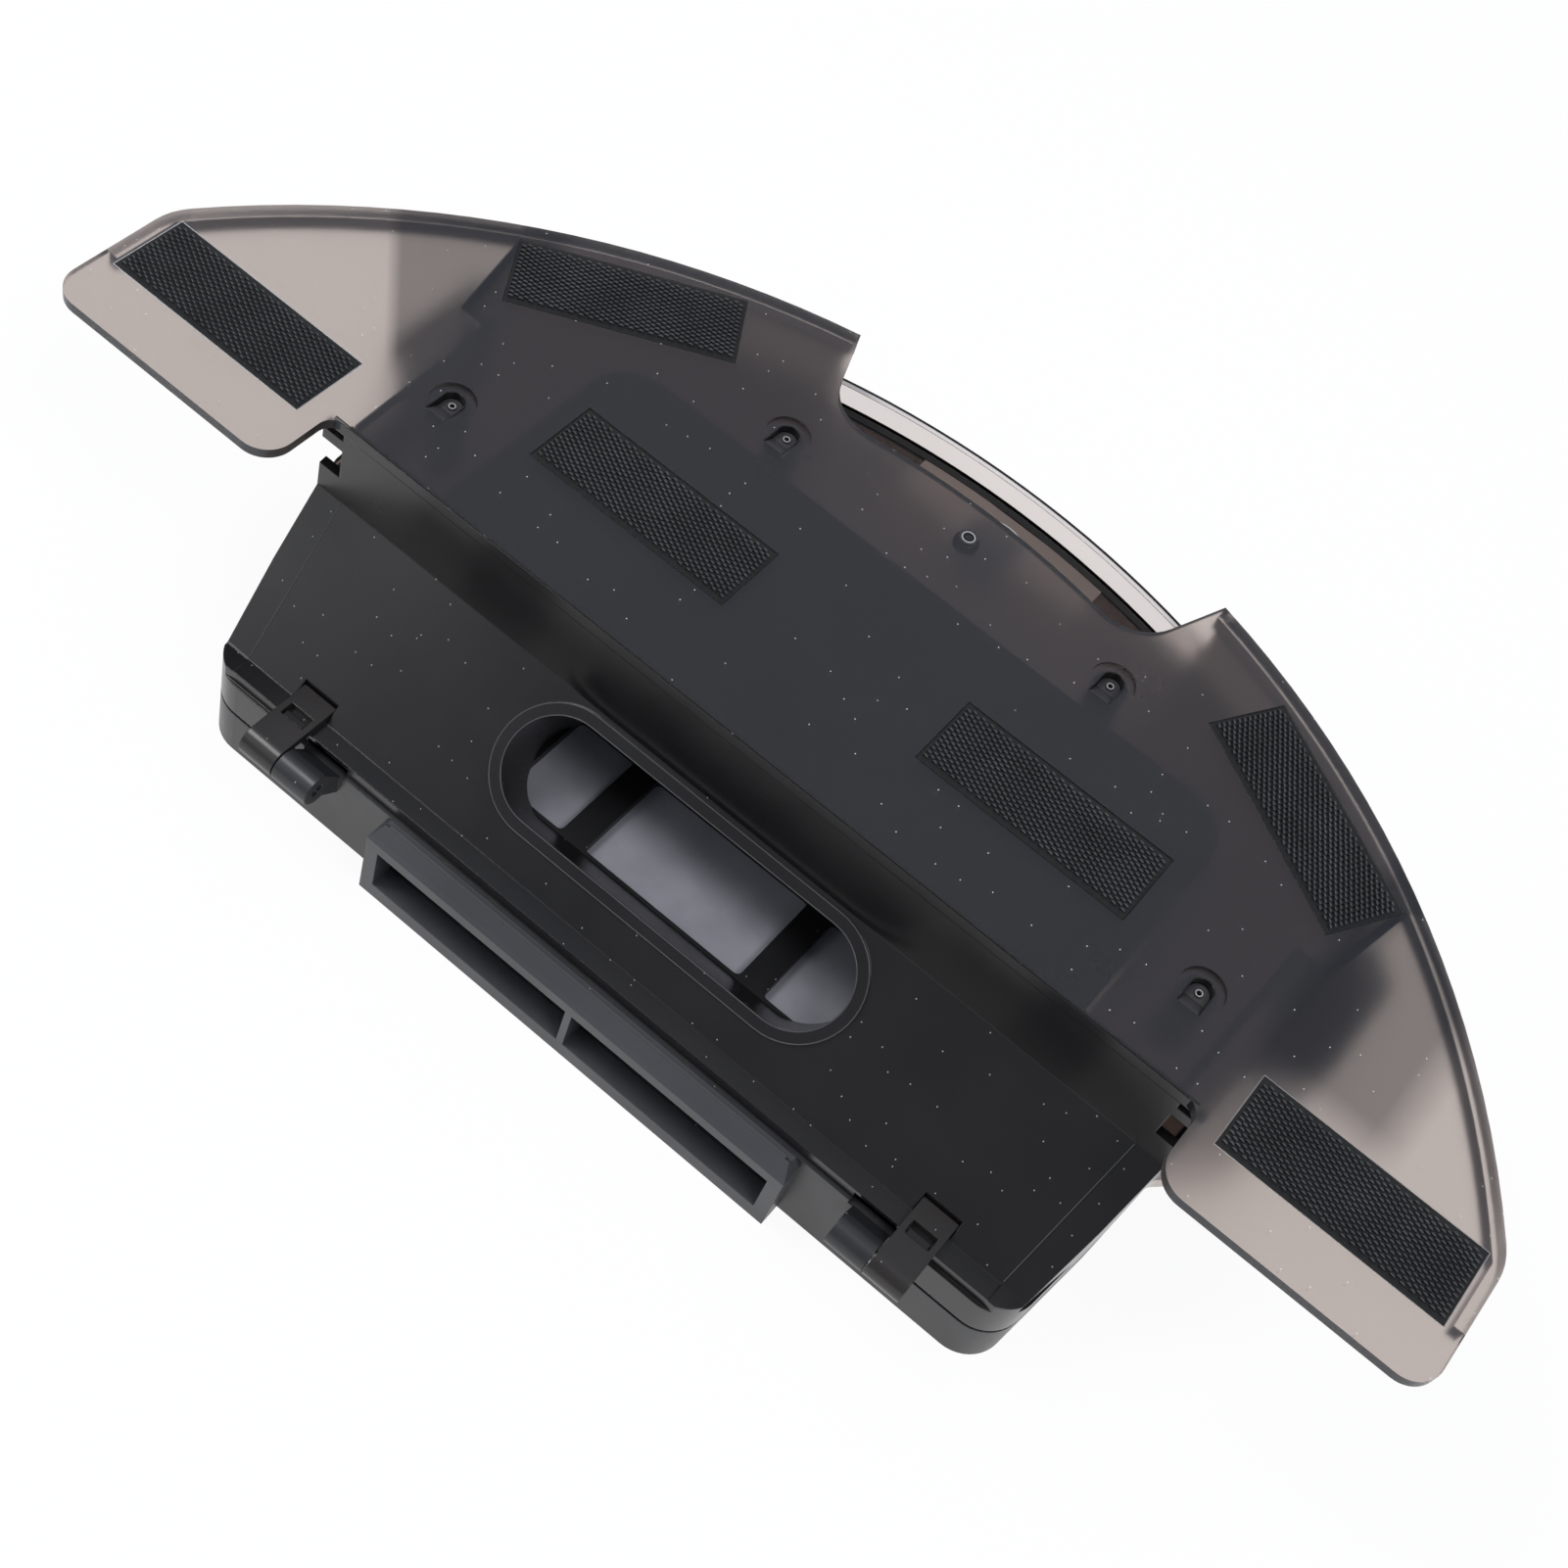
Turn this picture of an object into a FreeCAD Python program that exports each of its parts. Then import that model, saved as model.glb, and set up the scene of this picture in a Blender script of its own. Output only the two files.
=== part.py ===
import FreeCAD, Part
import math
import os
import re
import Sketcher
from FreeCAD import Placement, Rotation, Vector

os.makedirs("parts", exist_ok=True)

# Water tank with a built-in dust box for a round floor-cleaning robot.
# Modelled in the robot's own plan: X to the right, Y from the robot's centre
# towards its rear edge, depth measured down from the face that carries the
# mopping cloth. Every piece is then moved by the same amount, so that the part
# stands on its lid with the cloth face up and the origin below its middle.

SIZES = (
    ("total_height", 61.7, "cloth face to the outer face of the lid and tank"),
    ("rear_radius", 161.5, "rear edge, an arc about the robot's centre"),
    ("hinge_reach", 5.6, "lid hinge line before the front wall"),
    ("hinge_drop", 1.6, "lid hinge line below the flat band"),
    ("barrel_radius", 3.1, "hinge barrels"),
    ("fit_gap", 0.3, "clearance between pieces that lie side by side"),
    ("plate_thickness", 2.0, "cloth plate"),
    ("step_y", 70.8, "step wall and front edge of the plate"),
    ("wing_front", 55.8, "front edge of the plate's wings"),
    ("wing_lap", 1.7, "inner edge of the wings inside the dust box's side"),
    ("wing_trim", 22.9, "outer edge of the wings inside the rear radius"),
    ("wing_corner", 5.5, "rounding of the wings"),
    ("wing_rear_corner", 12.0, "rounding where wing and rear edge meet"),
    ("step_corner", 3.0, "rounding where wing and step meet"),
    ("notch_mouth", 41.0, "half width of the rear notch at the edge"),
    ("notch_floor", 33.5, "half width of the rear notch at its floor"),
    ("notch_depth", 21.0, "floor of the rear notch inside the rear edge"),
    ("notch_corner", 10.0, "rounding of the rear notch"),
    ("skirt_depth", 5.0, "edge skirt of the plate"),
    ("skirt_wall", 1.8, "edge skirt thickness"),
    ("skirt_front", 69.2, "front end of the edge skirt"),
    ("patch_length", 41.0, "hook patch"),
    ("patch_width", 14.72, "hook patch"),
    ("patch_thickness", 1.0, "hook patch"),
    ("patch_seat", 0.4, "depth of the seat of a hook patch"),
    ("patch_border", 0.35, "margin round a hook patch"),
    ("front_patch_edge", 24.05, "middle of the patch from the wing's outer edge"),
    ("front_patch_y", 74.88, "patch on the wing"),
    ("middle_patch_x", 41.21, "patch beside the middle"),
    ("middle_patch_y", 97.1, "patch beside the middle"),
    ("rear_patch_edge", 12.74, "middle of the rear patch inside the rear edge"),
    ("rear_patch_turn", 29.83, "place and turn of the rear patch about the centre, degrees"),
    ("outer_nozzle_inset", 12.7, "drip nozzle beside the wing inside the dust box's side"),
    ("outer_nozzle_y", 88.2, "drip nozzle beside the wing"),
    ("inner_nozzle_x", 35.4, "drip nozzle by the notch"),
    ("inner_nozzle_edge", 29.6, "drip nozzle by the notch inside the rear edge"),
    ("dish_radius", 4.1, "shallow dish round a nozzle"),
    ("dish_sink", 0.7, "depth of the dish at its rear edge"),
    ("slot_half", 2.2, "half width of the slot at a nozzle"),
    ("slot_run", 4.5, "straight part of the slot, from the drip hole forwards"),
    ("tongue_dip", 1.6, "flat end of the nozzle's tongue below the cloth face"),
    ("tongue_flat", 1.4, "flat end of the tongue before the drip hole"),
    ("drip_hole", 0.4, "drip hole"),
    ("drip_rim", 0.75, "raised rim round the drip hole"),
    ("rim_height", 0.3, "raised rim round the drip hole"),
    ("stem_radius", 3.2, "stem of a nozzle between plate and tank cover"),
    ("water_hole", 1.3, "hole in the tank cover below a nozzle"),
    ("valve_x", 0.1, "vent valve"),
    ("valve_edge", 28.3, "vent valve inside the rear edge"),
    ("valve_radius", 1.75, "vent valve"),
    ("box_top", 2.4, "top of the dust box, just under the plate"),
    ("step_depth", 19.1, "foot of the step wall"),
    ("band_width", 4.5, "flat band between front wall and slanted face"),
    ("band_height", 21.5, "flat band at the front above the lid's outer face"),
    ("front_y", 43.0, "front wall of dust box and lid"),
    ("side_half", 91.0, "half width at the back of the step wall"),
    ("side_draft", 3.4, "narrowing of the dust box towards the front wall"),
    ("front_corner", 7.5, "plan rounding of the front corners"),
    ("lip_drop", 2.5, "lower edge of the front lip below the band"),
    ("ledge_width", 0.7, "ledge round the front at the lip's lower edge"),
    ("line_step", 0.2, "fine step along the sides of the slanted face"),
    ("line_rear", 5.9, "fine step inside the side at the step wall"),
    ("line_front", 5.1, "fine step inside the side at the front wall"),
    ("lid_height", 11.3, "rim of the dust box above the lid's outer face"),
    ("parting_gap", 0.8, "seam between dust box and lid"),
    ("box_wall", 1.8, "walls of the dust box"),
    ("tub_inset", 24.5, "deep part of the dust box inside its side"),
    ("tub_edge", 41.5, "rear wall of the deep part inside the rear edge"),
    ("tub_corner", 9.0, "rounding of the deep part"),
    ("mouth_lap", 3.6, "lid's tall front wall beyond the clip's inner side"),
    ("inlet_drop", 12.9, "middle of the inlet below the step, along the slant"),
    ("inlet_half_length", 35.8, "dust inlet"),
    ("inlet_half_width", 9.8, "dust inlet"),
    ("inlet_ring_width", 2.3, "raised ring round the inlet"),
    ("inlet_ring_height", 0.6, "raised ring round the inlet"),
    ("throat_wall", 1.5, "wall of the passage behind the inlet"),
    ("grid_drop", 1.3, "top of the grid below the flat band"),
    ("grid_thickness", 2.0, "grid across the passage"),
    ("grid_margin", 1.6, "grid beyond the passage wall"),
    ("window_lead", 9.6, "front edge of the grid windows before the step wall"),
    ("window_tail", 11.2, "rear edge of the grid windows behind the step wall"),
    ("window_inset", 0.8, "ends of the grid windows inside the inlet"),
    ("window_corner", 1.0, "rounding of the grid windows"),
    ("grid_rib_inner", 17.2, "inner side of a grid rib"),
    ("grid_rib_width", 5.3, "grid rib"),
    ("flap_thickness", 1.0, "soft flap under the grid"),
    ("flap_overlap", 1.8, "flap beyond the grid windows"),
    ("flap_gap", 0.15, "gap between grid and flap"),
    ("flap_bead", 0.9, "radius of the flap's hinge bead"),
    ("ear_reach", 4.7, "inner end of the ear slots inside the side"),
    ("ear_slot_top", 4.3, "lower edge of the upper ear slot"),
    ("ear_bar_low", 6.8, "lower edge of the bar between the ear slots"),
    ("ear_slot_low", 13.5, "lower edge of the lower ear slot"),
    ("clip_inset", 23.2, "inner side of a hinge clip inside the end of the front wall"),
    ("clip_width", 7.25, "hinge clip"),
    ("clip_reach", 7.0, "rear end of a hinge clip behind the front wall"),
    ("clip_window_side", 1.15, "strap beside the clip window"),
    ("clip_window_lead", 0.2, "front edge of the clip window before the front wall"),
    ("clip_window_length", 2.8, "clip window, front to back"),
    ("tooth_height", 0.9, "tooth in the clip window"),
    ("tooth_length", 1.4, "tooth in the clip window"),
    ("knuckle_length", 7.6, "hinge barrel on the lid"),
    ("knuckle_relief", 1.0, "cut-away beside the lid's barrel"),
    ("pin_radius", 1.2, "hinge pin"),
    ("pin_play", 0.05, "running play of the hinge pin"),
    ("duct_reach", 4.4, "front face of the air outlet before the front wall"),
    ("duct_half", 45.8, "half width of the air outlet"),
    ("duct_drop", 4.6, "top edge of the air outlet's front face below the band"),
    ("duct_slope", 2.6, "sloping top of the outlet, front to back"),
    ("crest_drop", 2.2, "crest of the outlet's sloping top below the band"),
    ("crest_width", 0.6, "ridge along the outlet's crest"),
    ("crest_inset", 2.4, "end of the ridge inside the outlet's end"),
    ("duct_chamfer", 1.7, "bevel at the upper ends of the outlet"),
    ("outlet_cheek", 2.7, "outlet frame beside the opening"),
    ("outlet_lintel", 3.1, "outlet frame above the opening"),
    ("outlet_sill", 3.5, "outlet frame and lid below the opening"),
    ("outlet_rib", 1.4, "rib in the middle of the outlet"),
    ("lid_floor", 2.0, "outer panel of the lid"),
    ("lid_wall", 1.8, "walls of the lid"),
    ("seal_width", 1.2, "lid seal"),
    ("seal_gap", 0.15, "gap between lid seal and rim"),
    ("filter_depth", 12.0, "air filter, front to back"),
    ("filter_frame_wall", 2.0, "frame of the air filter"),
    ("pleat_pitch", 4.1, "pleats of the air filter"),
    ("pleat_paper", 0.8, "thickness of a pleat"),
    ("mesh_thickness", 0.6, "screen on the air filter"),
    ("mesh_pitch", 8.6, "bars of the screen"),
    ("mesh_bar", 1.0, "bars of the screen"),
    ("filter_gap", 0.1, "gap round the screen and the pleats"),
    ("tank_gap", 0.4, "clearance between dust box and tank arms"),
    ("flare_lap", 1.4, "tank beyond the dust box's side where it widens"),
    ("flare_edge", 69.5, "place where the tank widens inside the rear edge"),
    ("tank_reach", 12.0, "wide part of the tank beyond the dust box's side"),
    ("tank_wall", 1.8, "walls of the tank"),
    ("tub_gap", 0.6, "tank round the deep part of the dust box"),
    ("tank_corner", 3.0, "rounding of the tank's upright edges"),
    ("cover_depth", 16.8, "top of the tank cover"),
    ("cover_thickness", 2.2, "tank cover"),
    ("gasket_thickness", 0.8, "gasket between tank and cover"),
    ("frame_inset", 5.0, "support frame inside the dust box's side"),
    ("frame_lean", 1.3, "widening of the support frame before its jog"),
    ("frame_jog_edge", 55.5, "jog of the support frame inside the rear edge"),
    ("frame_jog", 5.4, "width of the support frame's jog"),
    ("frame_spread", 4.6, "widening of the support frame behind its jog"),
    ("frame_wall", 1.6, "support frame"),
    ("frame_notch_depth", 11.6, "edge of the support frame in the notch"),
    ("plug_edge", 12.7, "filler plug inside the rear edge"),
    ("plug_radius", 5.1, "head of the filler plug"),
    ("plug_head", 1.4, "height of the plug's head"),
    ("plug_stem", 3.9, "stem of the filler plug"),
    ("plug_bore", 4.0, "filler hole"),
    ("plug_depth", 5.0, "length of the plug's stem"),
    ("spout_wall", 1.4, "collar round the filler hole"),
)

document = FreeCAD.newDocument("WaterTank")
sheet = document.addObject("Spreadsheet::Sheet", "Sizes")
for row, (alias, amount, meaning) in enumerate(SIZES, 1):
    sheet.set("A%d" % row, str(amount))
    sheet.setAlias("A%d" % row, alias)
    sheet.set("B%d" % row, meaning)
document.recompute()

NAMES = {alias for alias, amount, meaning in SIZES}

# Places that follow from the sizes.
PLACES = {
    "middle": "(rear_radius + hinge_y - barrel_radius) / 2",
    "band_depth": "total_height - band_height",
    "hinge_y": "front_y - hinge_reach",
    "hinge_depth": "band_depth + hinge_drop",
    "wing_inner": "side_half - wing_lap",
    "wing_outer": "rear_radius - wing_trim",
    "notch_radius": "rear_radius - notch_depth",
    "front_patch_x": "wing_outer - front_patch_edge",
    "rear_patch_x": "(rear_radius - rear_patch_edge) * sin(rear_patch_turn)",
    "rear_patch_y": "(rear_radius - rear_patch_edge) * cos(rear_patch_turn)",
    "outer_nozzle_x": "side_half - outer_nozzle_inset",
    "inner_nozzle_y": "sqrt((rear_radius - inner_nozzle_edge)^2 - inner_nozzle_x^2)",
    "valve_y": "rear_radius - valve_edge",
    "plug_y": "rear_radius - plug_edge",
    "band_rear": "front_y + band_width",
    "front_half": "side_half - side_draft",
    "lip_depth": "band_depth + lip_drop",
    "rim_depth": "total_height - lid_height",
    "tub_half": "side_half - tub_inset",
    "tub_rear": "rear_radius - tub_edge",
    "grid_depth": "band_depth + grid_drop",
    "window_front": "step_y - window_lead",
    "window_rear": "step_y + window_tail",
    "window_end": "inlet_half_length - window_inset",
    "grid_rib_outer": "grid_rib_inner + grid_rib_width",
    "ear_inner": "side_half - ear_reach",
    "clip_inner": "front_half - clip_inset",
    "clip_outer": "clip_inner + clip_width",
    "clip_rear": "front_y + clip_reach",
    "clip_window_front": "front_y - clip_window_lead",
    "clip_window_rear": "clip_window_front + clip_window_length",
    "knuckle_inner": "clip_inner - fit_gap - knuckle_length",
    "mouth_half": "clip_inner + mouth_lap",
    "duct_front": "front_y - duct_reach",
    "duct_top": "band_depth + duct_drop",
    "duct_crest": "band_depth + crest_drop",
    "duct_slope_rear": "duct_front + duct_slope",
    "outlet_half": "duct_half - outlet_cheek",
    "outlet_top": "duct_top + outlet_lintel",
    "outlet_low": "total_height - outlet_sill",
    "tank_front": "step_y + box_wall + tank_gap",
    "flare_y": "rear_radius - flare_edge",
    "flare_half": "side_half + flare_lap",
    "tank_half": "side_half + tank_reach",
    "frame_front_half": "side_half - frame_inset",
    "frame_jog_y": "rear_radius - frame_jog_edge",
    "frame_jog_half": "frame_front_half + frame_lean",
    "frame_wide_half": "frame_jog_half + frame_jog",
    "frame_rear_half": "frame_wide_half + frame_spread",
}


def tied(text):
    """Writes an expression of sizes and places as one that reads the sheet."""
    def read(word):
        name = word.group()
        if name in PLACES:
            return "(%s)" % tied(PLACES[name])
        return "Sizes." + name if name in NAMES else name

    return re.sub(r"[a-z][a-z_]*[a-z]", read, text)


def number(text):
    return float(sheet.evalExpression(tied(text)))


def place(piece):
    """Stands a piece in the part's frame."""
    piece.setExpression("Placement.Base.y", tied("-middle"))
    piece.setExpression("Placement.Base.z", tied("total_height"))


def new_body(name, standing=True):
    body = document.addObject("PartDesign::Body", name)
    body.Label = name
    if standing:
        place(body)
    return body


def hold(sketch, index, point, x=None, y=None):
    """Ties a point of the sketch to its expressions."""
    for kind, text in (("DistanceX", x), ("DistanceY", y)):
        if text is not None:
            rule = Sketcher.Constraint(kind, -1, 1, index, point, number(text))
            spot = sketch.addConstraint(rule)
            sketch.setExpression("Constraints[%d]" % spot, tied(text))


def add_loop(sketch, corners):
    """Closed outline. A corner is (x, y), or (x, y, (centre x, centre y, turn)) where an arc follows."""
    first = sketch.GeometryCount
    spots = [Vector(number(corner[0]), number(corner[1]), 0) for corner in corners]
    count = len(corners)
    ends = []
    for index, corner in enumerate(corners):
        start = spots[index]
        finish = spots[(index + 1) % count]
        if len(corner) == 2:
            sketch.addGeometry(Part.LineSegment(start, finish))
            ends.append((1, 2))
            continue
        centre = Vector(number(corner[2][0]), number(corner[2][1]), 0)
        circle = Part.Circle(centre, Vector(0, 0, 1), (start - centre).Length)
        order = (start, finish) if corner[2][2] > 0 else (finish, start)
        angles = [math.atan2(spot.y - centre.y, spot.x - centre.x) for spot in order]
        sketch.addGeometry(Part.ArcOfCircle(circle, *angles))
        ends.append((1, 2) if corner[2][2] > 0 else (2, 1))
    for index in range(count):
        after = (index + 1) % count
        joint = ("Coincident", first + index, ends[index][1], first + after, ends[after][0])
        sketch.addConstraint(Sketcher.Constraint(*joint))
    for index, corner in enumerate(corners):
        hold(sketch, first + index, ends[index][0], corner[0], corner[1])
        if len(corner) == 3:
            chord = spots[(index + 1) % count] - spots[index]
            if abs(chord.x) > abs(chord.y):
                hold(sketch, first + index, 3, y=corner[2][1])
            else:
                hold(sketch, first + index, 3, x=corner[2][0])


def add_circle(sketch, x, y, radius):
    centre = Vector(number(x), number(y), 0)
    index = sketch.addGeometry(Part.Circle(centre, Vector(0, 0, 1), number(radius)))
    hold(sketch, index, 3, x, y)
    spot = sketch.addConstraint(Sketcher.Constraint("Radius", index, number(radius)))
    sketch.setExpression("Constraints[%d]" % spot, tied(radius))


def new_sketch(body, name, plane, offset="0"):
    sketch = body.newObject("Sketcher::SketchObject", name)
    support = [item for item in body.Origin.OriginFeatures if item.Role == plane][0]
    sketch.AttachmentSupport = [(support, "")]
    sketch.MapMode = "FlatFace"
    sketch.setExpression("AttachmentOffset.Base.z", tied(offset))
    return sketch


def draw(body, name, plane, loops, offset="0"):
    sketch = new_sketch(body, name, plane, offset)
    for loop in loops:
        add_loop(sketch, loop)
    return sketch


def draw_circles(body, name, plane, circles, offset="0"):
    sketch = new_sketch(body, name, plane, offset)
    for x, y, radius in circles:
        add_circle(sketch, x, y, radius)
    return sketch


def tilted_sketch(body, name, lean, turn, y, z):
    """Sketch turned about the X axis, or the other way where lean is -1, with its origin at y, z."""
    sketch = new_sketch(body, name, "XY_Plane", z)
    sketch.AttachmentOffset = Placement(
        Vector(0, 0, 0), Rotation(Vector(lean, 0, 0), number(turn))
    )
    sketch.setExpression("AttachmentOffset.Base.y", tied(y))
    sketch.setExpression("AttachmentOffset.Base.z", tied(z))
    sketch.setExpression("AttachmentOffset.Rotation.Angle", tied(turn))
    return sketch


def slanted_sketch(body, name):
    """Sketch on the slanted face, origin at the foot of the step, Y up the slant."""
    turn = "atan((band_depth - step_depth) / (step_y - band_rear))"
    return tilted_sketch(body, name, 1, turn, "step_y", "-step_depth")


def pad(body, sketch, length, reverse=False, both=False):
    feature = body.newObject("PartDesign::Pad", sketch.Name + "Pad")
    feature.Profile = sketch
    feature.setExpression("Length", tied(length))
    feature.Reversed = reverse
    if both:
        feature.SideType = "Symmetric"
    document.recompute()
    return feature


def pocket(body, sketch, length, reverse=False, both=False):
    """Cut against the sketch's normal, or along it when reversed, which must take material."""
    before = body.Shape.Volume
    feature = body.newObject("PartDesign::Pocket", sketch.Name + "Pocket")
    feature.Profile = sketch
    feature.setExpression("Length", tied(length))
    feature.Reversed = reverse
    if both:
        feature.SideType = "Symmetric"
    document.recompute()
    if body.Shape.Volume > before - 1e-6:
        raise RuntimeError("cut without effect: " + sketch.Name)
    return feature


def round_posts(body, name, places, radius):
    """Rounds the upright edges that stand at the given places."""
    posts = [Vector(number(x), number(y), 0) for x, y in places]
    names = []
    for index, edge in enumerate(body.Tip.Shape.Edges, 1):
        if len(edge.Vertexes) != 2:
            continue
        low, high = [vertex.Point for vertex in edge.Vertexes]
        if math.hypot(low.x - high.x, low.y - high.y) > 1e-4:
            continue
        if any(math.hypot(low.x - post.x, low.y - post.y) < 0.02 for post in posts):
            names.append("Edge%d" % index)
    if len(names) < len(posts):
        raise RuntimeError("edge not found: " + name)
    base = body.Tip
    feature = body.newObject("PartDesign::Fillet", name)
    feature.Base = (base, names)
    feature.setExpression("Radius", tied(radius))
    document.recompute()
    return feature


def revolve(body, sketch, cut=False):
    """Full turn about the sketch's upright axis."""
    kind = "PartDesign::Groove" if cut else "PartDesign::Revolution"
    before = body.Shape.Volume if cut else 0
    feature = body.newObject(kind, sketch.Name + ("Groove" if cut else "Turned"))
    feature.Profile = sketch
    feature.ReferenceAxis = (sketch, ["V_Axis"])
    feature.Angle = 360
    document.recompute()
    if cut and body.Shape.Volume > before - 1e-6:
        raise RuntimeError("cut without effect: " + sketch.Name)
    return feature


def minus(text):
    return "-(%s)" % text


def mirrored(loop):
    """The same outline on the other side of the middle plane."""
    other = []
    for corner in loop:
        if len(corner) == 2:
            other.append((minus(corner[0]), corner[1]))
        else:
            x, y, turn = corner[2]
            other.append((minus(corner[0]), corner[1], (minus(x), y, -turn)))
    return other


def symmetric(half):
    """Closed outline from its right half, which runs from the front to the rear."""
    loop = list(half)
    for index in reversed(range(len(half))):
        corner = [minus(half[index][0]), half[index][1]]
        if index and len(half[index - 1]) == 3:
            x, y, turn = half[index - 1][2]
            corner.append((minus(x), y, turn))
        loop.append(tuple(corner))
    return loop


def block(left, right, near, far):
    return [(left, near), (right, near), (right, far), (left, far)]


def wide_block(half, near, far):
    return block(minus(half), half, near, far)


def on_arc(radius, x):
    return "sqrt((%s)^2 - (%s)^2)" % (radius, x)


def both_sides(places):
    return [(x, y) for x, y in places] + [(minus(x), y) for x, y in places]


ABOUT_CENTRE = ("0", "0", 1)
NOZZLE_PAIRS = (
    ("outer", "outer_nozzle_x", "outer_nozzle_y"),
    ("inner", "inner_nozzle_x", "inner_nozzle_y"),
)
NOZZLES = both_sides([(x, y) for name, x, y in NOZZLE_PAIRS])
PATCHES = (
    ("hook_patch_front", "front_patch_x", "front_patch_y", "0"),
    ("hook_patch_middle", "middle_patch_x", "middle_patch_y", "0"),
    ("hook_patch_rear", "rear_patch_x", "rear_patch_y", "-rear_patch_turn"),
)
SIDES = (("right", ""), ("left", "-"))


def patch_outline(x, y, turn, border):
    """Rectangle of a hook patch, grown by a border and turned about its middle."""
    half_length = "(patch_length / 2 + %s)" % border
    half_width = "(patch_width / 2 + %s)" % border
    loop = []
    for along, across in ((-1, -1), (1, -1), (1, 1), (-1, 1)):
        step = "(%d * %s)" % (along, half_length)
        rise = "(%d * %s)" % (across, half_width)
        loop.append((
            "%s + %s * cos(%s) - %s * sin(%s)" % (x, step, turn, rise, turn),
            "%s + %s * sin(%s) + %s * cos(%s)" % (y, step, turn, rise, turn),
        ))
    return loop


def plate_outline():
    return symmetric([
        ("wing_inner", "step_y"),
        ("wing_inner", "wing_front"),
        ("wing_outer", "wing_front"),
        ("wing_outer", on_arc("rear_radius", "wing_outer"), ABOUT_CENTRE),
        ("notch_mouth", on_arc("rear_radius", "notch_mouth")),
        ("notch_floor", on_arc("notch_radius", "notch_floor"), ABOUT_CENTRE),
    ])


def slot_outline(x, y, half):
    """Slot with a round rear end about the drip hole."""
    left = "%s - %s" % (x, half)
    right = "%s + %s" % (x, half)
    front = "%s - slot_run" % y
    return [(left, front), (right, front), (right, y, (x, y, 1)), (left, y)]


def make_mop_plate():
    """Cloth plate with wings, edge skirt, patch seats and a slot in a sloping dish at each nozzle."""
    body = new_body("mop_plate")
    pad(body, draw(body, "PlateOutline", "XY_Plane", [plate_outline()]), "plate_thickness", True)
    round_posts(body, "WingCorners", both_sides([
        ("wing_inner", "wing_front"), ("wing_outer", "wing_front"),
    ]), "wing_corner")
    round_posts(body, "StepCorners", both_sides([("wing_inner", "step_y")]), "step_corner")
    floor_corner = [("notch_floor", on_arc("notch_radius", "notch_floor"))]
    round_posts(body, "NotchCorners", both_sides(floor_corner), "notch_corner")
    inside = "(rear_radius - skirt_wall)"
    inner_half = "(wing_outer - skirt_wall)"
    skirt = [
        ("wing_outer", "skirt_front"),
        ("wing_outer", on_arc("rear_radius", "wing_outer"), ABOUT_CENTRE),
        ("notch_mouth", on_arc("rear_radius", "notch_mouth")),
        ("notch_mouth", on_arc(inside, "notch_mouth"), ("0", "0", -1)),
        (inner_half, on_arc(inside, inner_half)),
        (inner_half, "skirt_front"),
    ]
    sketch = draw(body, "SkirtOutline", "XY_Plane", [skirt, mirrored(skirt)])
    pad(body, sketch, "skirt_depth", True)
    rear_corner = [("wing_outer", on_arc("rear_radius", "wing_outer"))]
    round_posts(body, "WingRearCorners", both_sides(rear_corner), "wing_rear_corner")
    tilt = "atan(dish_sink / (dish_radius + slot_run))"
    for name, x, y in NOZZLE_PAIRS:
        sketch = tilted_sketch(body, name.title() + "Dishes", -1, tilt, y + " - slot_run", "0")
        for side in (x, minus(x)):
            add_circle(sketch, side, "slot_run / cos(%s)" % tilt, "dish_radius")
        pocket(body, sketch, "dish_sink + 1", True)
    slots = [slot_outline(x, y, "slot_half") for x, y in NOZZLES]
    pocket(body, draw(body, "NozzleSlots", "XY_Plane", slots), "plate_thickness + 1")
    circle = [("valve_x", "valve_y", "valve_radius + pin_play")]
    pocket(body, draw_circles(body, "ValveHole", "XY_Plane", circle), "plate_thickness + 1")
    seats = []
    for name, x, y, turn in PATCHES:
        seat = patch_outline(x, y, turn, "patch_border")
        seats += [seat, mirrored(seat)]
    pocket(body, draw(body, "PatchSeats", "XY_Plane", seats), "patch_seat")
    return body


def make_hook_patches():
    """Six hook-tape patches that hold the cloth, each in its own shallow seat."""
    pieces = []
    for name, x, y, turn in PATCHES:
        for side, sign in SIDES:
            body = new_body("%s_%s" % (name, side))
            outline = patch_outline(x, y, turn, "0")
            if sign:
                outline = mirrored(outline)
            sketch = draw(body, body.Name + "Outline", "XY_Plane", [outline], "-patch_seat")
            pad(body, sketch, "patch_thickness")
            pieces.append(body)
    return pieces


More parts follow.
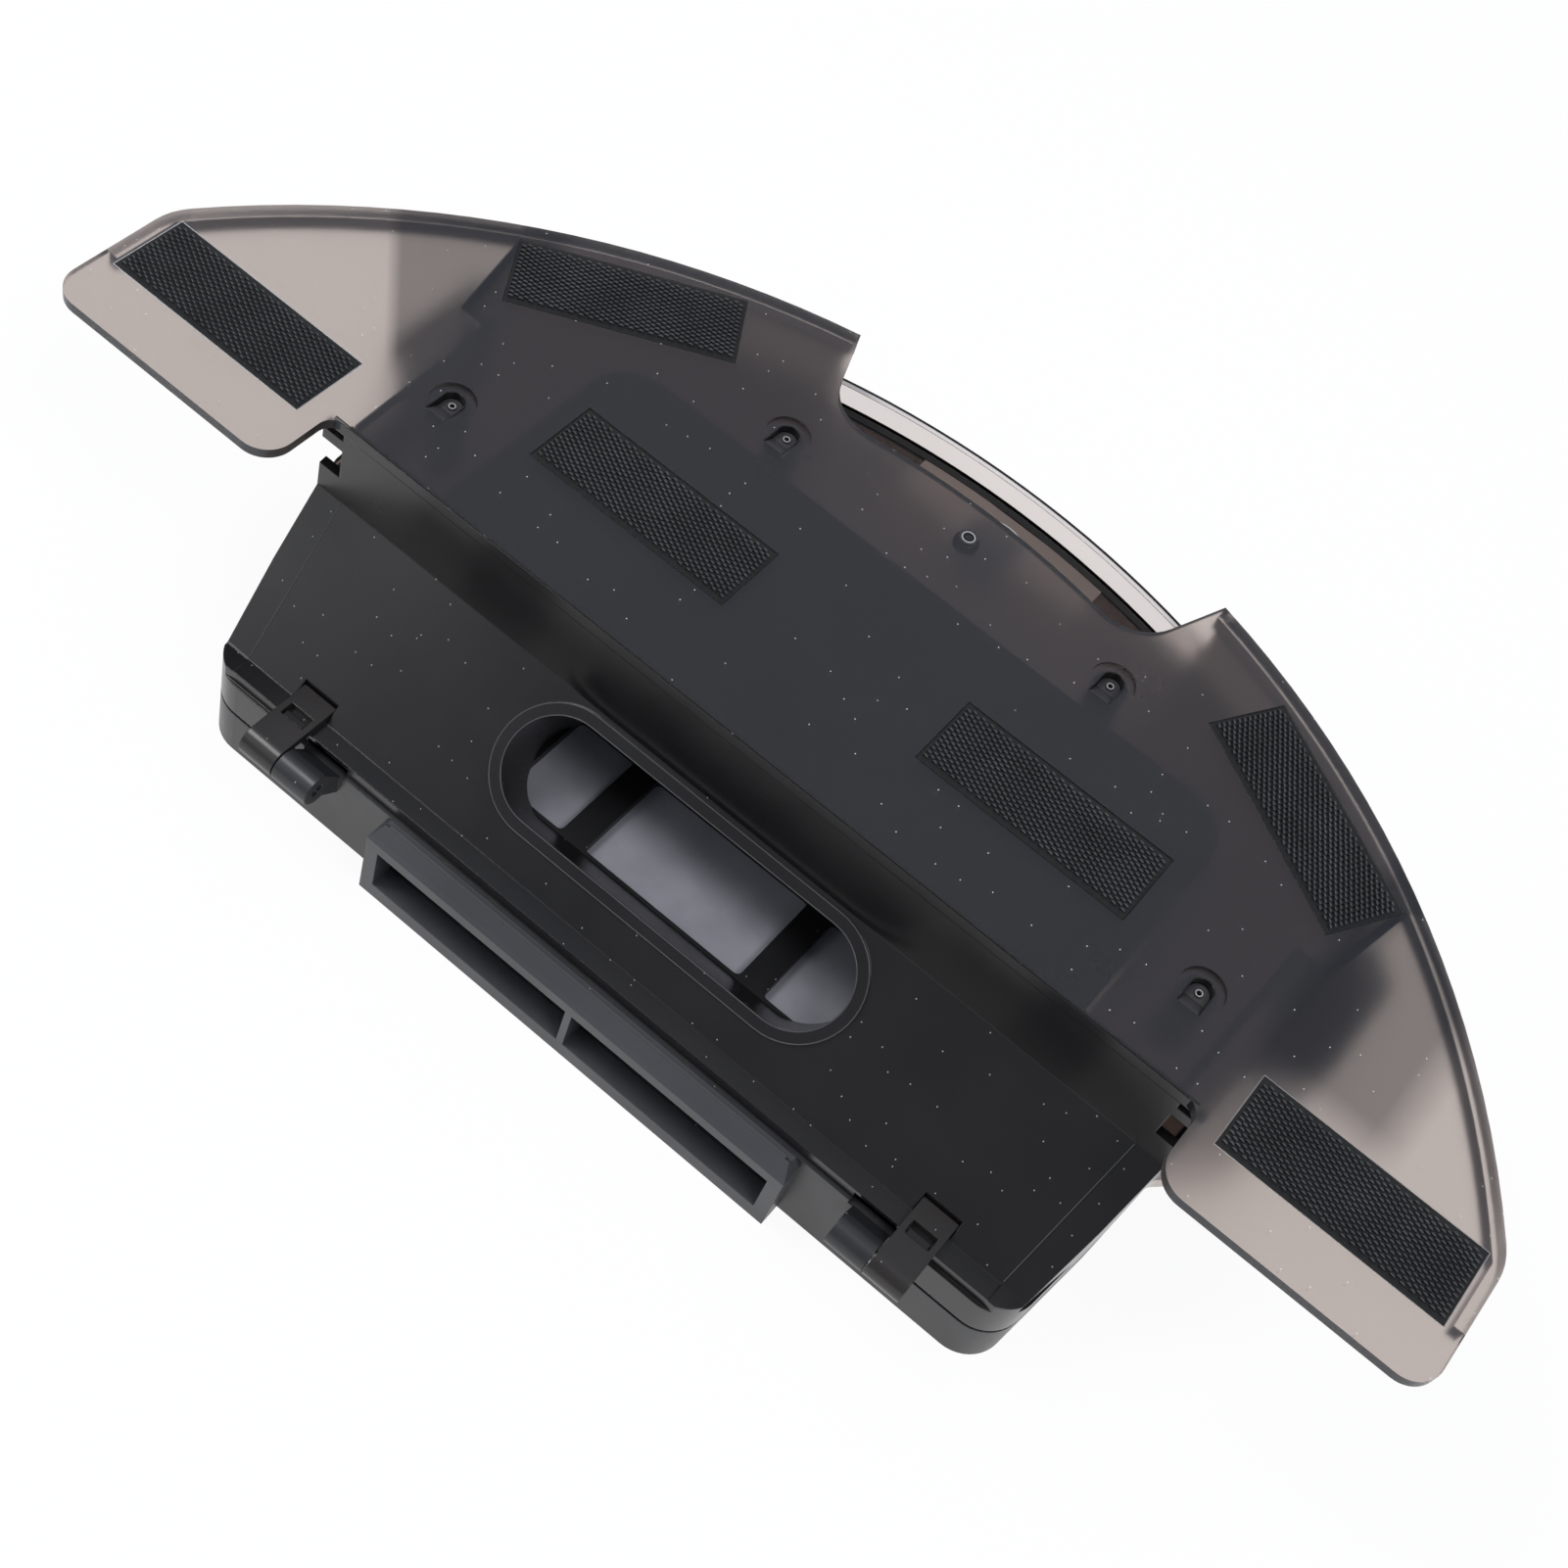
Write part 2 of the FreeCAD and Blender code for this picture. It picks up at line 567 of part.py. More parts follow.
def make_nozzles():
    """Soft drip nozzles: a tongue that dips from the cloth face to the drip hole, on a stem."""
    pieces = []
    under = "(plate_thickness + fit_gap)"
    dip = [
        ("-slot_run", "1"), ("-slot_run", "0"), ("-tongue_flat", "-tongue_dip"),
        ("slot_half + 1", "-tongue_dip"), ("slot_half + 1", "1"),
    ]
    for name, x, y in NOZZLE_PAIRS:
        for side, sign in SIDES:
            body = new_body("drip_nozzle_%s_%s" % (name, side))
            body.setExpression("Placement.Base.x", tied(sign + x))
            body.setExpression("Placement.Base.y", tied(y + " - middle"))
            tongue = slot_outline("0", "0", "(slot_half - fit_gap)")
            pad(body, draw(body, body.Name + "Tongue", "XY_Plane", [tongue]), under, True)
            sketch = draw(body, body.Name + "Dip", "YZ_Plane", [dip])
            pocket(body, sketch, "2 * slot_half", both=True)
            rim = [("0", "0", "drip_rim")]
            sketch = draw_circles(body, body.Name + "Rim", "XY_Plane", rim, "rim_height - tongue_dip")
            pad(body, sketch, "2 * rim_height", True)
            stem = [("0", "0", "stem_radius")]
            sketch = draw_circles(body, body.Name + "Stem", "XY_Plane", stem, "-" + under)
            pad(body, sketch, "cover_depth - " + under, True)
            hole = [("0", "0", "drip_hole")]
            pocket(body, draw_circles(body, body.Name + "Hole", "XY_Plane", hole), "cover_depth + 1")
            pieces.append(body)
    return pieces


def make_vent_valve():
    """Small rimmed vent in the cloth plate."""
    body = new_body("vent_valve")
    body.setExpression("Placement.Base.x", tied("valve_x"))
    body.setExpression("Placement.Base.y", tied("valve_y - middle"))
    section = [
        ("0", "-0.35"), ("valve_radius * 0.55", "-0.35"), ("valve_radius * 0.55", "0.1"),
        ("valve_radius", "0.1"), ("valve_radius", "-plate_thickness"),
        ("valve_radius + 0.6", "-plate_thickness"), ("valve_radius + 0.6", "-plate_thickness - 0.8"),
        ("0", "-plate_thickness - 0.8"),
    ]
    revolve(body, draw(body, "ValveSection", "XZ_Plane", [section]))
    return body


def frame_outline(inset):
    """Outer side of the support frame, or its inner side when inset."""
    radius = "(rear_radius - %s)" % inset
    rear = "(frame_rear_half - %s)" % inset
    return [
        ("frame_front_half - %s" % inset, "tank_front - (%s) * 2" % inset),
        ("frame_jog_half - %s" % inset, "frame_jog_y + %s" % inset),
        ("frame_wide_half - %s" % inset, "frame_jog_y + %s" % inset),
        (rear, on_arc(radius, rear), ABOUT_CENTRE),
    ]


def make_support_frame():
    """Clear wall that stands on the tank cover and backs the cloth plate."""
    body = new_body("support_frame")
    sketch = draw(body, "FrameOutline", "XY_Plane", [symmetric(frame_outline("0"))], "-cover_depth")
    pad(body, sketch, "cover_depth - plate_thickness - fit_gap")
    inner = symmetric(frame_outline("frame_wall"))
    pocket(body, draw(body, "FrameInside", "XY_Plane", [inner]), "cover_depth + 1")
    skirt_inside = "(rear_radius - skirt_wall - fit_gap)"
    reach = "(frame_rear_half + frame_wall)"
    relief = symmetric([
        (reach, on_arc(skirt_inside, reach)),
        (reach, on_arc("(rear_radius + 2)", reach), ABOUT_CENTRE),
    ])
    relief[-1] = relief[-1] + (("0", "0", -1),)
    pocket(body, draw(body, "SkirtRelief", "XY_Plane", [relief]), "skirt_depth + fit_gap")
    opening = wide_block("notch_mouth + 1", "notch_radius", "rear_radius + 2")
    pocket(body, draw(body, "NotchRelief", "XY_Plane", [opening]), "frame_notch_depth")
    return body


def tank_outline(inset):
    """Right half of the tank's plan outside the dust box."""
    radius = "(rear_radius - %s)" % inset
    half = "(tank_half - %s)" % inset
    return [
        ("side_half - %s" % inset, "tank_front + %s" % inset),
        ("flare_half - %s" % inset, "flare_y + (%s) * 0.4" % inset),
        (half, "flare_y + tank_half - flare_half + (%s) * 0.4" % inset),
        (half, on_arc(radius, half), ABOUT_CENTRE),
    ]


def u_outline(inset):
    """Plan of the tank: two arms beside the dust box, joined behind it."""
    outer = tank_outline(inset)
    inner_half = "tub_half + tub_gap + %s" % inset
    inner_rear = "tub_rear + tub_gap + %s" % inset
    inner = [(inner_half, inner_rear), (inner_half, "tank_front + %s" % inset)]
    loop = symmetric(outer)
    return loop + [(minus(x), y) for x, y in reversed(inner)] + inner


def round_tank(body, inset, radius, inner_radius):
    outer = tank_outline(inset)
    outside = [corner[:2] for corner in outer]
    round_posts(body, body.Name + "Corners", both_sides(outside), radius)
    inner = [("tub_half + tub_gap + %s" % inset, "tub_rear + tub_gap + %s" % inset)]
    round_posts(body, body.Name + "InnerCorners", both_sides(inner), inner_radius)


def make_tank_cover():
    """Dark cover that closes the tank, with a water hole below each nozzle and the filler collar."""
    body = new_body("tank_cover")
    sketch = draw(body, "CoverOutline", "XY_Plane", [u_outline("0")], "-cover_depth")
    pad(body, sketch, "cover_thickness", True)
    round_tank(body, "0", "tank_corner", "tub_corner")
    collar = [("0", "plug_y", "plug_bore + spout_wall")]
    sketch = draw_circles(body, "Collar", "XY_Plane", collar, "-cover_depth - cover_thickness / 2")
    pad(body, sketch, "plug_depth", True)
    holes = [(x, y, "water_hole") for x, y in NOZZLES]
    holes.append(("0", "plug_y", "plug_bore"))
    sketch = draw_circles(body, "CoverHoles", "XY_Plane", holes)
    pocket(body, sketch, "cover_depth + cover_thickness + plug_depth")
    return body


def make_tank_gasket():
    """Soft gasket on the inner half of the tank's rim."""
    body = new_body("tank_gasket")
    depth = "-(cover_depth + cover_thickness)"
    sketch = draw(body, "GasketOutline", "XY_Plane", [u_outline("(tank_wall / 2)")], depth)
    pad(body, sketch, "gasket_thickness", True)
    sketch = draw(body, "GasketInside", "XY_Plane", [u_outline("tank_wall")])
    pocket(body, sketch, "cover_depth + cover_thickness + gasket_thickness + 1")
    return body


def make_tank_body():
    """Brown see-through water tank, a tray of even wall round the dust box."""
    body = new_body("tank_body")
    rim = "(cover_depth + cover_thickness + gasket_thickness)"
    sketch = draw(body, "TankOutline", "XY_Plane", [u_outline("0")], "-" + rim)
    pad(body, sketch, "total_height - " + rim, True)
    round_tank(body, "0", "tank_corner", "tub_corner")
    sketch = draw(body, "TankInside", "XY_Plane", [u_outline("tank_wall")])
    pocket(body, sketch, "total_height - tank_wall")
    return body


def make_filler_plug():
    """Soft plug in the filler hole, in reach through the notch of the cloth plate."""
    body = new_body("filler_plug")
    body.setExpression("Placement.Base.y", tied("plug_y - middle"))
    top = "-cover_depth + plug_head + 0.1"
    section = [
        ("0", top + " - 0.5"), ("plug_radius - 1.1", top + " - 0.5"), ("plug_radius - 1.1", top),
        ("plug_radius", top), ("plug_radius", "-cover_depth + 0.1"),
        ("plug_stem", "-cover_depth + 0.1"), ("plug_stem", "-cover_depth - plug_depth - 0.8"),
        ("0", "-cover_depth - plug_depth - 0.8"),
    ]
    revolve(body, draw(body, "PlugSection", "XZ_Plane", [section]))
    return body


def bin_outline(inset):
    """Plan of dust box and lid: wide at the front, narrower behind the step wall."""
    return symmetric([
        ("front_half - %s" % inset, "front_y + %s" % inset),
        ("side_half - %s" % inset, "step_y + box_wall - %s" % inset),
        ("tub_half - %s" % inset, "step_y + box_wall - %s" % inset),
        ("tub_half - %s" % inset, "tub_rear - %s" % inset),
    ])


def round_bin(body, inset):
    front = [("front_half - %s" % inset, "front_y + %s" % inset)]
    round_posts(body, body.Name + "FrontCorners", both_sides(front), "front_corner - %s" % inset)
    rear = [("tub_half - %s" % inset, "tub_rear - %s" % inset)]
    round_posts(body, body.Name + "RearCorners", both_sides(rear), "tub_corner - %s" % inset)


def carve(body, tool):
    """Takes another body's solid out of this one."""
    before = body.Shape.Volume
    boolean = body.newObject("PartDesign::Boolean", tool.Name + "Cut")
    boolean.Type = "Cut"
    boolean.setObjects([tool])
    document.recompute()
    if body.Shape.Volume > before - 1e-6:
        raise RuntimeError("cut without effect: " + tool.Name)


def bin_room(name, inset, floor):
    """The space inside walls of the given inset, from a floor upwards."""
    room = new_body(name, False)
    sketch = draw(room, name + "Plan", "XY_Plane", [bin_outline(inset)], floor)
    pad(room, sketch, "total_height")
    round_bin(room, inset)
    return room


def box_form(name, inset, standing):
    """Dust box as a solid: the plan raised to its top, less what lies above the slanted face."""
    body = new_body(name, standing)
    top = "-(box_top + %s)" % inset
    sketch = draw(body, name + "Plan", "XY_Plane", [bin_outline(inset)], top)
    pad(body, sketch, "rim_depth - box_top - %s + (%s > 0 ? 1 : 0)" % (inset, inset), True)
    round_bin(body, inset)
    run = "(step_y - band_rear)"
    drop = "(band_depth - step_depth)"
    lean = "((%s) * sqrt(%s^2 + %s^2) / %s)" % (inset, run, drop, run)
    step = "(step_y + %s)" % inset
    step_foot = "-(step_depth + %s) + (%s) * %s / %s" % (lean, inset, drop, run)
    band = "(band_depth + %s)" % inset
    band_end = "step_y + (step_depth + %s - %s) * %s / %s" % (lean, band, run, drop)
    above = [
        ("front_y - 20", "1"), (step, "1"), (step, step_foot),
        (band_end, "-" + band), ("front_y - 20", "-" + band),
    ]
    sketch = draw(body, name + "Above", "YZ_Plane", [above])
    pocket(body, sketch, "4 * side_half", both=True)
    return body


def stadium(half_length, half_width, middle):
    straight = "(%s - %s)" % (half_length, half_width)
    low = "%s - %s" % (middle, half_width)
    high = "%s + %s" % (middle, half_width)
    return [
        (minus(straight), low), (straight, low, (straight, middle, 1)),
        (straight, high), (minus(straight), high, (minus(straight), middle, 1)),
    ]


def cut_ledge(body):
    """Sets the front and the sides back above the lip, which leaves a narrow ledge at its lower edge."""
    rear = "(step_y - 2)"
    half = [
        ("front_half - ledge_width", "front_y + ledge_width"),
        ("side_half", rear),
        ("side_half + 3", rear),
        ("side_half + 3", "front_y - 3"),
    ]
    loop = symmetric(half)
    sketch = draw(body, "LedgeCut", "XY_Plane", [loop], "-lip_depth")
    pocket(body, sketch, "lip_depth", True)


def cut_side_lines(body):
    """Fine step along both sides of the slanted face and across the band."""
    slant = "sqrt((step_y - band_rear)^2 + (band_depth - step_depth)^2)"
    top = "(side_half - line_rear)"
    foot = "(front_half - line_front)"
    strip = [(top, "0"), (foot, "-" + slant), ("side_half + 3", "-" + slant), ("side_half + 3", "0")]
    sketch = slanted_sketch(body, "SideLines")
    add_loop(sketch, strip)
    add_loop(sketch, mirrored(strip))
    pocket(body, sketch, "line_step")
    band = block(foot, "side_half + 3", "front_y - 3", "band_rear")
    sketch = draw(body, "BandLines", "XY_Plane", [band, mirrored(band)], "-band_depth")
    pocket(body, sketch, "line_step")


def make_dust_box():
    """Dust box with the step wall, the slanted face and its stadium inlet and slanting throat."""
    body = box_form("dust_box", "0", True)
    room = box_form("DustRoom", "box_wall", False)
    carve(body, room)
    throat_length = "(grid_depth - step_depth) * 1.6"
    half_length = "(inlet_half_length + throat_wall)"
    half_width = "(inlet_half_width + throat_wall)"
    sketch = slanted_sketch(body, "ThroatOutline")
    add_loop(sketch, stadium(half_length, half_width, "-inlet_drop"))
    pad(body, sketch, throat_length, True)
    ring_length = "(inlet_half_length + inlet_ring_width)"
    ring_width = "(inlet_half_width + inlet_ring_width)"
    sketch = slanted_sketch(body, "InletRing")
    add_loop(sketch, stadium(ring_length, ring_width, "-inlet_drop"))
    pad(body, sketch, "inlet_ring_height")
    sketch = slanted_sketch(body, "InletOpening")
    add_loop(sketch, stadium("inlet_half_length", "inlet_half_width", "-inlet_drop"))
    pocket(body, sketch, "2 * (%s + 2)" % throat_length, both=True)
    below = wide_block(
        "inlet_half_length + throat_wall + 1", "front_y + box_wall + 1", "tub_rear - box_wall - 1"
    )
    sketch = draw(body, "ThroatEnd", "XY_Plane", [below], "-grid_depth")
    pocket(body, sketch, "rim_depth")
    mouth = wide_block("mouth_half + fit_gap", "front_y - 1", "front_y + box_wall + 0.01")
    pocket(body, draw(body, "LidMouth", "XY_Plane", [mouth], "-lip_depth"), "rim_depth")
    cut_ledge(body)
    cut_side_lines(body)
    clip_bed = block(
        "clip_inner - 1.4", "clip_outer + 1.4", "front_y + box_wall / 2", "clip_rear + 2.2"
    )
    sketch = draw(body, "ClipBeds", "XY_Plane", [clip_bed, mirrored(clip_bed)], "-band_depth - 0.4")
    pad(body, sketch, "2.1", True)
    seat = block(
        "clip_inner - fit_gap / 2", "clip_outer + fit_gap / 2",
        "band_rear - 0.5", "clip_rear + fit_gap",
    )
    sketch = draw(body, "ClipSeats", "XY_Plane", [seat, mirrored(seat)], "-band_depth")
    pocket(body, sketch, "step_depth", True)
    tooth = block(
        "clip_inner + clip_window_side + fit_gap", "clip_outer - clip_window_side - fit_gap",
        "front_y", "front_y + tooth_length",
    )
    sketch = draw(body, "ClipTeeth", "XY_Plane", [tooth, mirrored(tooth)], "-band_depth - 0.5")
    pad(body, sketch, "tooth_height + 0.5")
    relief = block(
        "knuckle_inner - knuckle_relief", "clip_inner + fit_gap",
        "front_y - 1", "front_y + box_wall + 0.5",
    )
    sketch = draw(body, "KnuckleRelief", "XY_Plane", [relief, mirrored(relief)], "-band_depth - 0.9")
    pocket(body, sketch, "3")
    upper = block("ear_inner", "side_half + 1", "-ear_slot_top", "1")
    lower = block("ear_inner", "side_half + 1", "-ear_slot_low", "-ear_bar_low")
    slots = [upper, lower, mirrored(upper), mirrored(lower)]
    sketch = draw(body, "EarSlots", "XZ_Plane", slots, "-(step_y - 1)")
    pocket(body, sketch, "box_wall + 3", False)
    return body


def make_inlet_grid():
    """Grid at the inner end of the inlet's passage, three windows between two ribs."""
    body = new_body("inlet_grid")
    half = "(inlet_half_length + throat_wall + grid_margin)"
    near = "(window_front - grid_margin * 2)"
    far = "(window_rear + grid_margin * 4)"
    sketch = draw(body, "GridOutline", "XY_Plane", [wide_block(half, near, far)], "-grid_depth")
    pad(body, sketch, "grid_thickness", True)
    middle = wide_block("grid_rib_inner", "window_front", "window_rear")
    side = block("grid_rib_outer", "window_end", "window_front", "window_rear")
    sketch = draw(body, "GridWindows", "XY_Plane", [middle, side, mirrored(side)])
    pocket(body, sketch, "grid_depth + grid_thickness + 1")
    for x in ("grid_rib_inner", "grid_rib_outer", "window_end"):
        corners = [(x, "window_front"), (x, "window_rear")]
        round_posts(body, "WindowCorners_" + x, both_sides(corners), "window_corner")
    return body


def make_inlet_flap():
    """Soft flap that closes the grid from inside and swings on the bead along its rear edge."""
    body = new_body("inlet_flap")
    top = "(grid_depth + grid_thickness + flap_gap)"
    half = "(window_end + flap_overlap)"
    bead_y = "(window_rear + flap_overlap + flap_bead)"
    sketch = draw(body, "FlapOutline", "XY_Plane",
                  [wide_block(half, "window_front - flap_overlap", bead_y)], "-" + top)
    pad(body, sketch, "flap_thickness", True)
    sketch = draw_circles(body, "FlapBead", "YZ_Plane", [(bead_y, "-(%s + flap_bead)" % top, "flap_bead")])
    pad(body, sketch, "2 * " + half, both=True)
    return body


def on_barrel(angle):
    """Point of the hinge barrel, seen from the side."""
    return (
        "hinge_y + barrel_radius * cos(%d)" % angle,
        "barrel_radius * sin(%d) - hinge_depth" % angle,
    )


def make_lid():
    """Lid of the dust box with its tall front wall, the outlet opening and the hinge knuckles."""
    body = new_body("bin_lid")
    sketch = draw(body, "LidPlan", "XY_Plane", [bin_outline("0")], "-total_height")
    pad(body, sketch, "total_height - rim_depth - parting_gap")
    round_bin(body, "0")
    carve(body, bin_room("LidRoom", "lid_wall", "-total_height + lid_floor"))
    wall = wide_block("mouth_half", "front_y", "front_y + lid_wall")
    sketch = draw(body, "TallWall", "XY_Plane", [wall], "-total_height")
    pad(body, sketch, "total_height - lip_depth - fit_gap")
    knuckle = [
        on_barrel(52) + (("hinge_y", "-hinge_depth", 1),),
        on_barrel(-68),
        ("front_y + 0.6", "-hinge_depth - 7"),
        ("front_y + 0.6", "-hinge_depth - 2.2"),
    ]
    length = "(clip_inner - fit_gap - knuckle_inner)"
    for side, sign in SIDES:
        offset = "knuckle_inner + %s / 2" % length
        if sign:
            offset = minus(offset)
        sketch = draw(body, "Knuckle_" + side, "YZ_Plane", [knuckle], offset)
        pad(body, sketch, length, both=True)
        relief = block(
            "knuckle_inner - knuckle_relief", "clip_inner + fit_gap", "-(hinge_depth + 2.2)", "0"
        )
        if sign:
            relief = mirrored(relief)
        sketch = draw(body, "KnuckleGap_" + side, "XZ_Plane", [relief], "-(front_y + 3)")
        pocket(body, sketch, "3 - fit_gap / 2 + 0.2", True)
    hole = [("hinge_y", "-hinge_depth", "pin_radius")]
    sketch = draw_circles(body, "PinHoles", "YZ_Plane", hole)
    pocket(body, sketch, "3 * clip_outer", both=True)
    outlet = wide_block("outlet_half", "-outlet_low", "-outlet_top")
    sketch = draw(body, "OutletOpening", "XZ_Plane", [outlet], "-(front_y - 1)")
    pocket(body, sketch, "lid_wall + 2")
    return body


def make_lid_seal():
    """Soft seal in the seam between dust box and lid."""
    body = new_body("lid_seal")
    base = "-(rim_depth + parting_gap)"
    inset = "(lid_wall - seal_width)"
    sketch = draw(body, "SealOutline", "XY_Plane", [bin_outline(inset)], base)
    pad(body, sketch, "parting_gap - seal_gap")
    round_bin(body, inset)
    carve(body, bin_room("SealRoom", "lid_wall", "-total_height"))
    gap = wide_block("mouth_half + fit_gap", "front_y - 1", "front_y + lid_wall + 2")
    sketch = draw(body, "SealMouth", "XY_Plane", [gap], "-total_height")
    pocket(body, sketch, "total_height", True)
    return body


def make_outlet_frame():
    """Air outlet on the front of the lid: a flat frame with a sloping top and a ribbed opening."""
    body = new_body("outlet_frame")
    profile = [
        ("duct_front", "-total_height"),
        ("front_y", "-total_height"),
        ("front_y", "-duct_crest - 0.8"),
        ("duct_slope_rear + crest_width", "-duct_crest - 0.8"),
        ("duct_slope_rear", "-duct_crest - 0.4"),
        ("duct_front + 0.7", "-duct_top"),
        ("duct_front", "-duct_top - 0.6"),
    ]
    pad(body, draw(body, "DuctProfile", "YZ_Plane", [profile]), "2 * duct_half", both=True)
    ridge = block("duct_slope_rear", "duct_slope_rear + crest_width", "-duct_crest - 1.2", "-duct_crest")
    sketch = draw(body, "CrestRidge", "YZ_Plane", [ridge])
    pad(body, sketch, "2 * (duct_half - crest_inset)", both=True)
    bevel = [
        ("duct_half - duct_chamfer", "-duct_crest + 1"),
        ("duct_half - duct_chamfer", "-duct_crest - 0.2"),
        ("duct_half + 0.01", "-duct_top - 0.6"),
        ("duct_half + 1", "-duct_crest + 1"),
    ]
    sketch = draw(body, "EndBevels", "XZ_Plane", [bevel, mirrored(bevel)], "-(duct_front - 1)")
    pocket(body, sketch, "front_y - duct_front + 2")
    side = block("outlet_rib / 2", "outlet_half", "-outlet_low", "-outlet_top")
    sketch = draw(body, "DuctOpening", "XZ_Plane", [side, mirrored(side)], "-(duct_front - 1)")
    pocket(body, sketch, "front_y - duct_front + 2")
    return body


def make_filter():
    """Pleated air filter in its frame with a screen, behind the outlet."""
    near = "(front_y + lid_wall + fit_gap)"
    far = "(%s + filter_depth)" % near
    half = "(outlet_half + filter_frame_wall)"
    low = "(total_height - lid_floor - fit_gap)"
    high = "(outlet_top - filter_frame_wall)"
    frame = new_body("filter_frame")
    inner_low = "(%s - filter_frame_wall)" % low
    around = wide_block(half, minus(low), minus(high))
    inside = wide_block("outlet_half", minus(inner_low), minus("outlet_top"))
    sketch = draw(frame, "FilterFrameOutline", "XZ_Plane", [around, inside], minus(near))
    pad(frame, sketch, "filter_depth", True)
    filter_body = new_body("air_filter")
    count = int(number("2 * (outlet_half - fit_gap) / pleat_pitch"))
    start = "(%d * pleat_pitch / 2)" % count
    front = near + " + mesh_thickness + 0.4"
    back = far + " - 0.6"
    zigzag = []
    for index in range(count + 1):
        x = "-%s + %d * pleat_pitch" % (start, index)
        zigzag.append((x, front if index % 2 else back + " - pleat_paper"))
    outline = zigzag + [(x, y + " + pleat_paper") for x, y in reversed(zigzag)]
    sketch = draw(filter_body, "Pleats", "XY_Plane", [outline], minus("outlet_top + filter_gap"))
    pad(filter_body, sketch, inner_low + " - outlet_top - 2 * filter_gap", True)
    mesh = new_body("filter_screen")
    screen_half = "(outlet_half - filter_gap)"
    screen_low = "-(%s - filter_gap)" % inner_low
    screen_high = "-(outlet_top + filter_gap)"
    outline = wide_block(screen_half, screen_low, screen_high)
    sketch = draw(mesh, "ScreenOutline", "XZ_Plane", [outline], minus(near))
    pad(mesh, sketch, "mesh_thickness", True)
    windows = []
    columns = round(number("2 * %s / mesh_pitch" % screen_half))
    for index in range(columns):
        windows.append(block(
            "%s * (%d / %d - 1) + mesh_bar / 2" % (screen_half, 2 * index, columns),
            "%s * (%d / %d - 1) - mesh_bar / 2" % (screen_half, 2 * index + 2, columns),
            screen_low + " + mesh_bar / 2", screen_high + " - mesh_bar / 2",
        ))
    sketch = draw(mesh, "ScreenWindows", "XZ_Plane", windows, minus(near + " - 1"))
    pocket(mesh, sketch, "mesh_thickness + 2")
    return [frame, filter_body, mesh]


def make_hinge_clips():
    """Strap clips on the dust box: flat strap with a window, running into the hinge barrel."""
    pieces = []
    tangent = "hinge_y + sqrt(barrel_radius^2 - (band_depth - hinge_depth)^2)"
    for side, sign in SIDES:
        body = new_body("hinge_clip_" + side)
        profile = [
            ("hinge_y", "-hinge_depth + barrel_radius"),
            ("clip_rear", "-hinge_depth + barrel_radius"),
            ("clip_rear", "-band_depth"),
            (tangent, "-band_depth", ("hinge_y", "-hinge_depth", -1)),
        ]
        middle = "(clip_inner + clip_outer) / 2"
        if sign:
            middle = minus(middle)
        sketch = draw(body, "Strap_" + side, "YZ_Plane", [profile], middle)
        pad(body, sketch, "clip_outer - clip_inner", both=True)
        window = block(
            "clip_inner + clip_window_side", "clip_outer - clip_window_side",
            "clip_window_front", "clip_window_rear",
        )
        if sign:
            window = mirrored(window)
        sketch = draw(body, "StrapWindow_" + side, "XY_Plane", [window])
        pocket(body, sketch, "band_depth + 1")
        bore = [("hinge_y", "-hinge_depth", "pin_radius + pin_play")]
        sketch = draw_circles(body, "StrapBore_" + side, "YZ_Plane", bore, middle)
        pocket(body, sketch, "clip_outer - clip_inner + 2", both=True)
        pieces.append(body)
    return pieces


def make_hinge_pins():
    """Steel pins that run from the lid's knuckles into the clips."""
    pieces = []
    inner = "(knuckle_inner + 0.8)"
    outer = "(clip_outer - 0.6)"
    for side, sign in SIDES:
        body = new_body("hinge_pin_" + side)
        middle = "(%s + %s) / 2" % (inner, outer)
        if sign:
            middle = minus(middle)
        circle = [("hinge_y", "-hinge_depth", "pin_radius")]
        sketch = draw_circles(body, "PinSection_" + side, "YZ_Plane", circle, middle)
        pad(body, sketch, "%s - %s" % (outer, inner), both=True)
        pieces.append(body)
    return pieces


pieces = [make_mop_plate()]
pieces += make_hook_patches()
pieces += make_nozzles()
pieces += [
    make_vent_valve(), make_support_frame(), make_tank_cover(), make_tank_gasket(),
    make_tank_body(), make_filler_plug(), make_dust_box(), make_inlet_grid(), make_inlet_flap(),
    make_lid(), make_lid_seal(), make_outlet_frame(),
]
pieces += make_filter()
pieces += make_hinge_clips()
pieces += make_hinge_pins()
document.recompute()

faults = [item.Name for item in document.Objects if "Invalid" in item.State or "Error" in item.State]
if faults:
    raise RuntimeError("objects with errors: " + ", ".join(faults))
for piece in pieces:
    if piece.Shape.isNull() or not piece.Shape.isValid() or piece.Shape.Volume <= 0:
        raise RuntimeError("bad shape: " + piece.Label)
for piece in pieces:
    piece.Shape.exportStep("parts/%s.step" % piece.Label)
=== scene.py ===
import math

import bpy
import numpy as np
from mathutils import Matrix, Vector


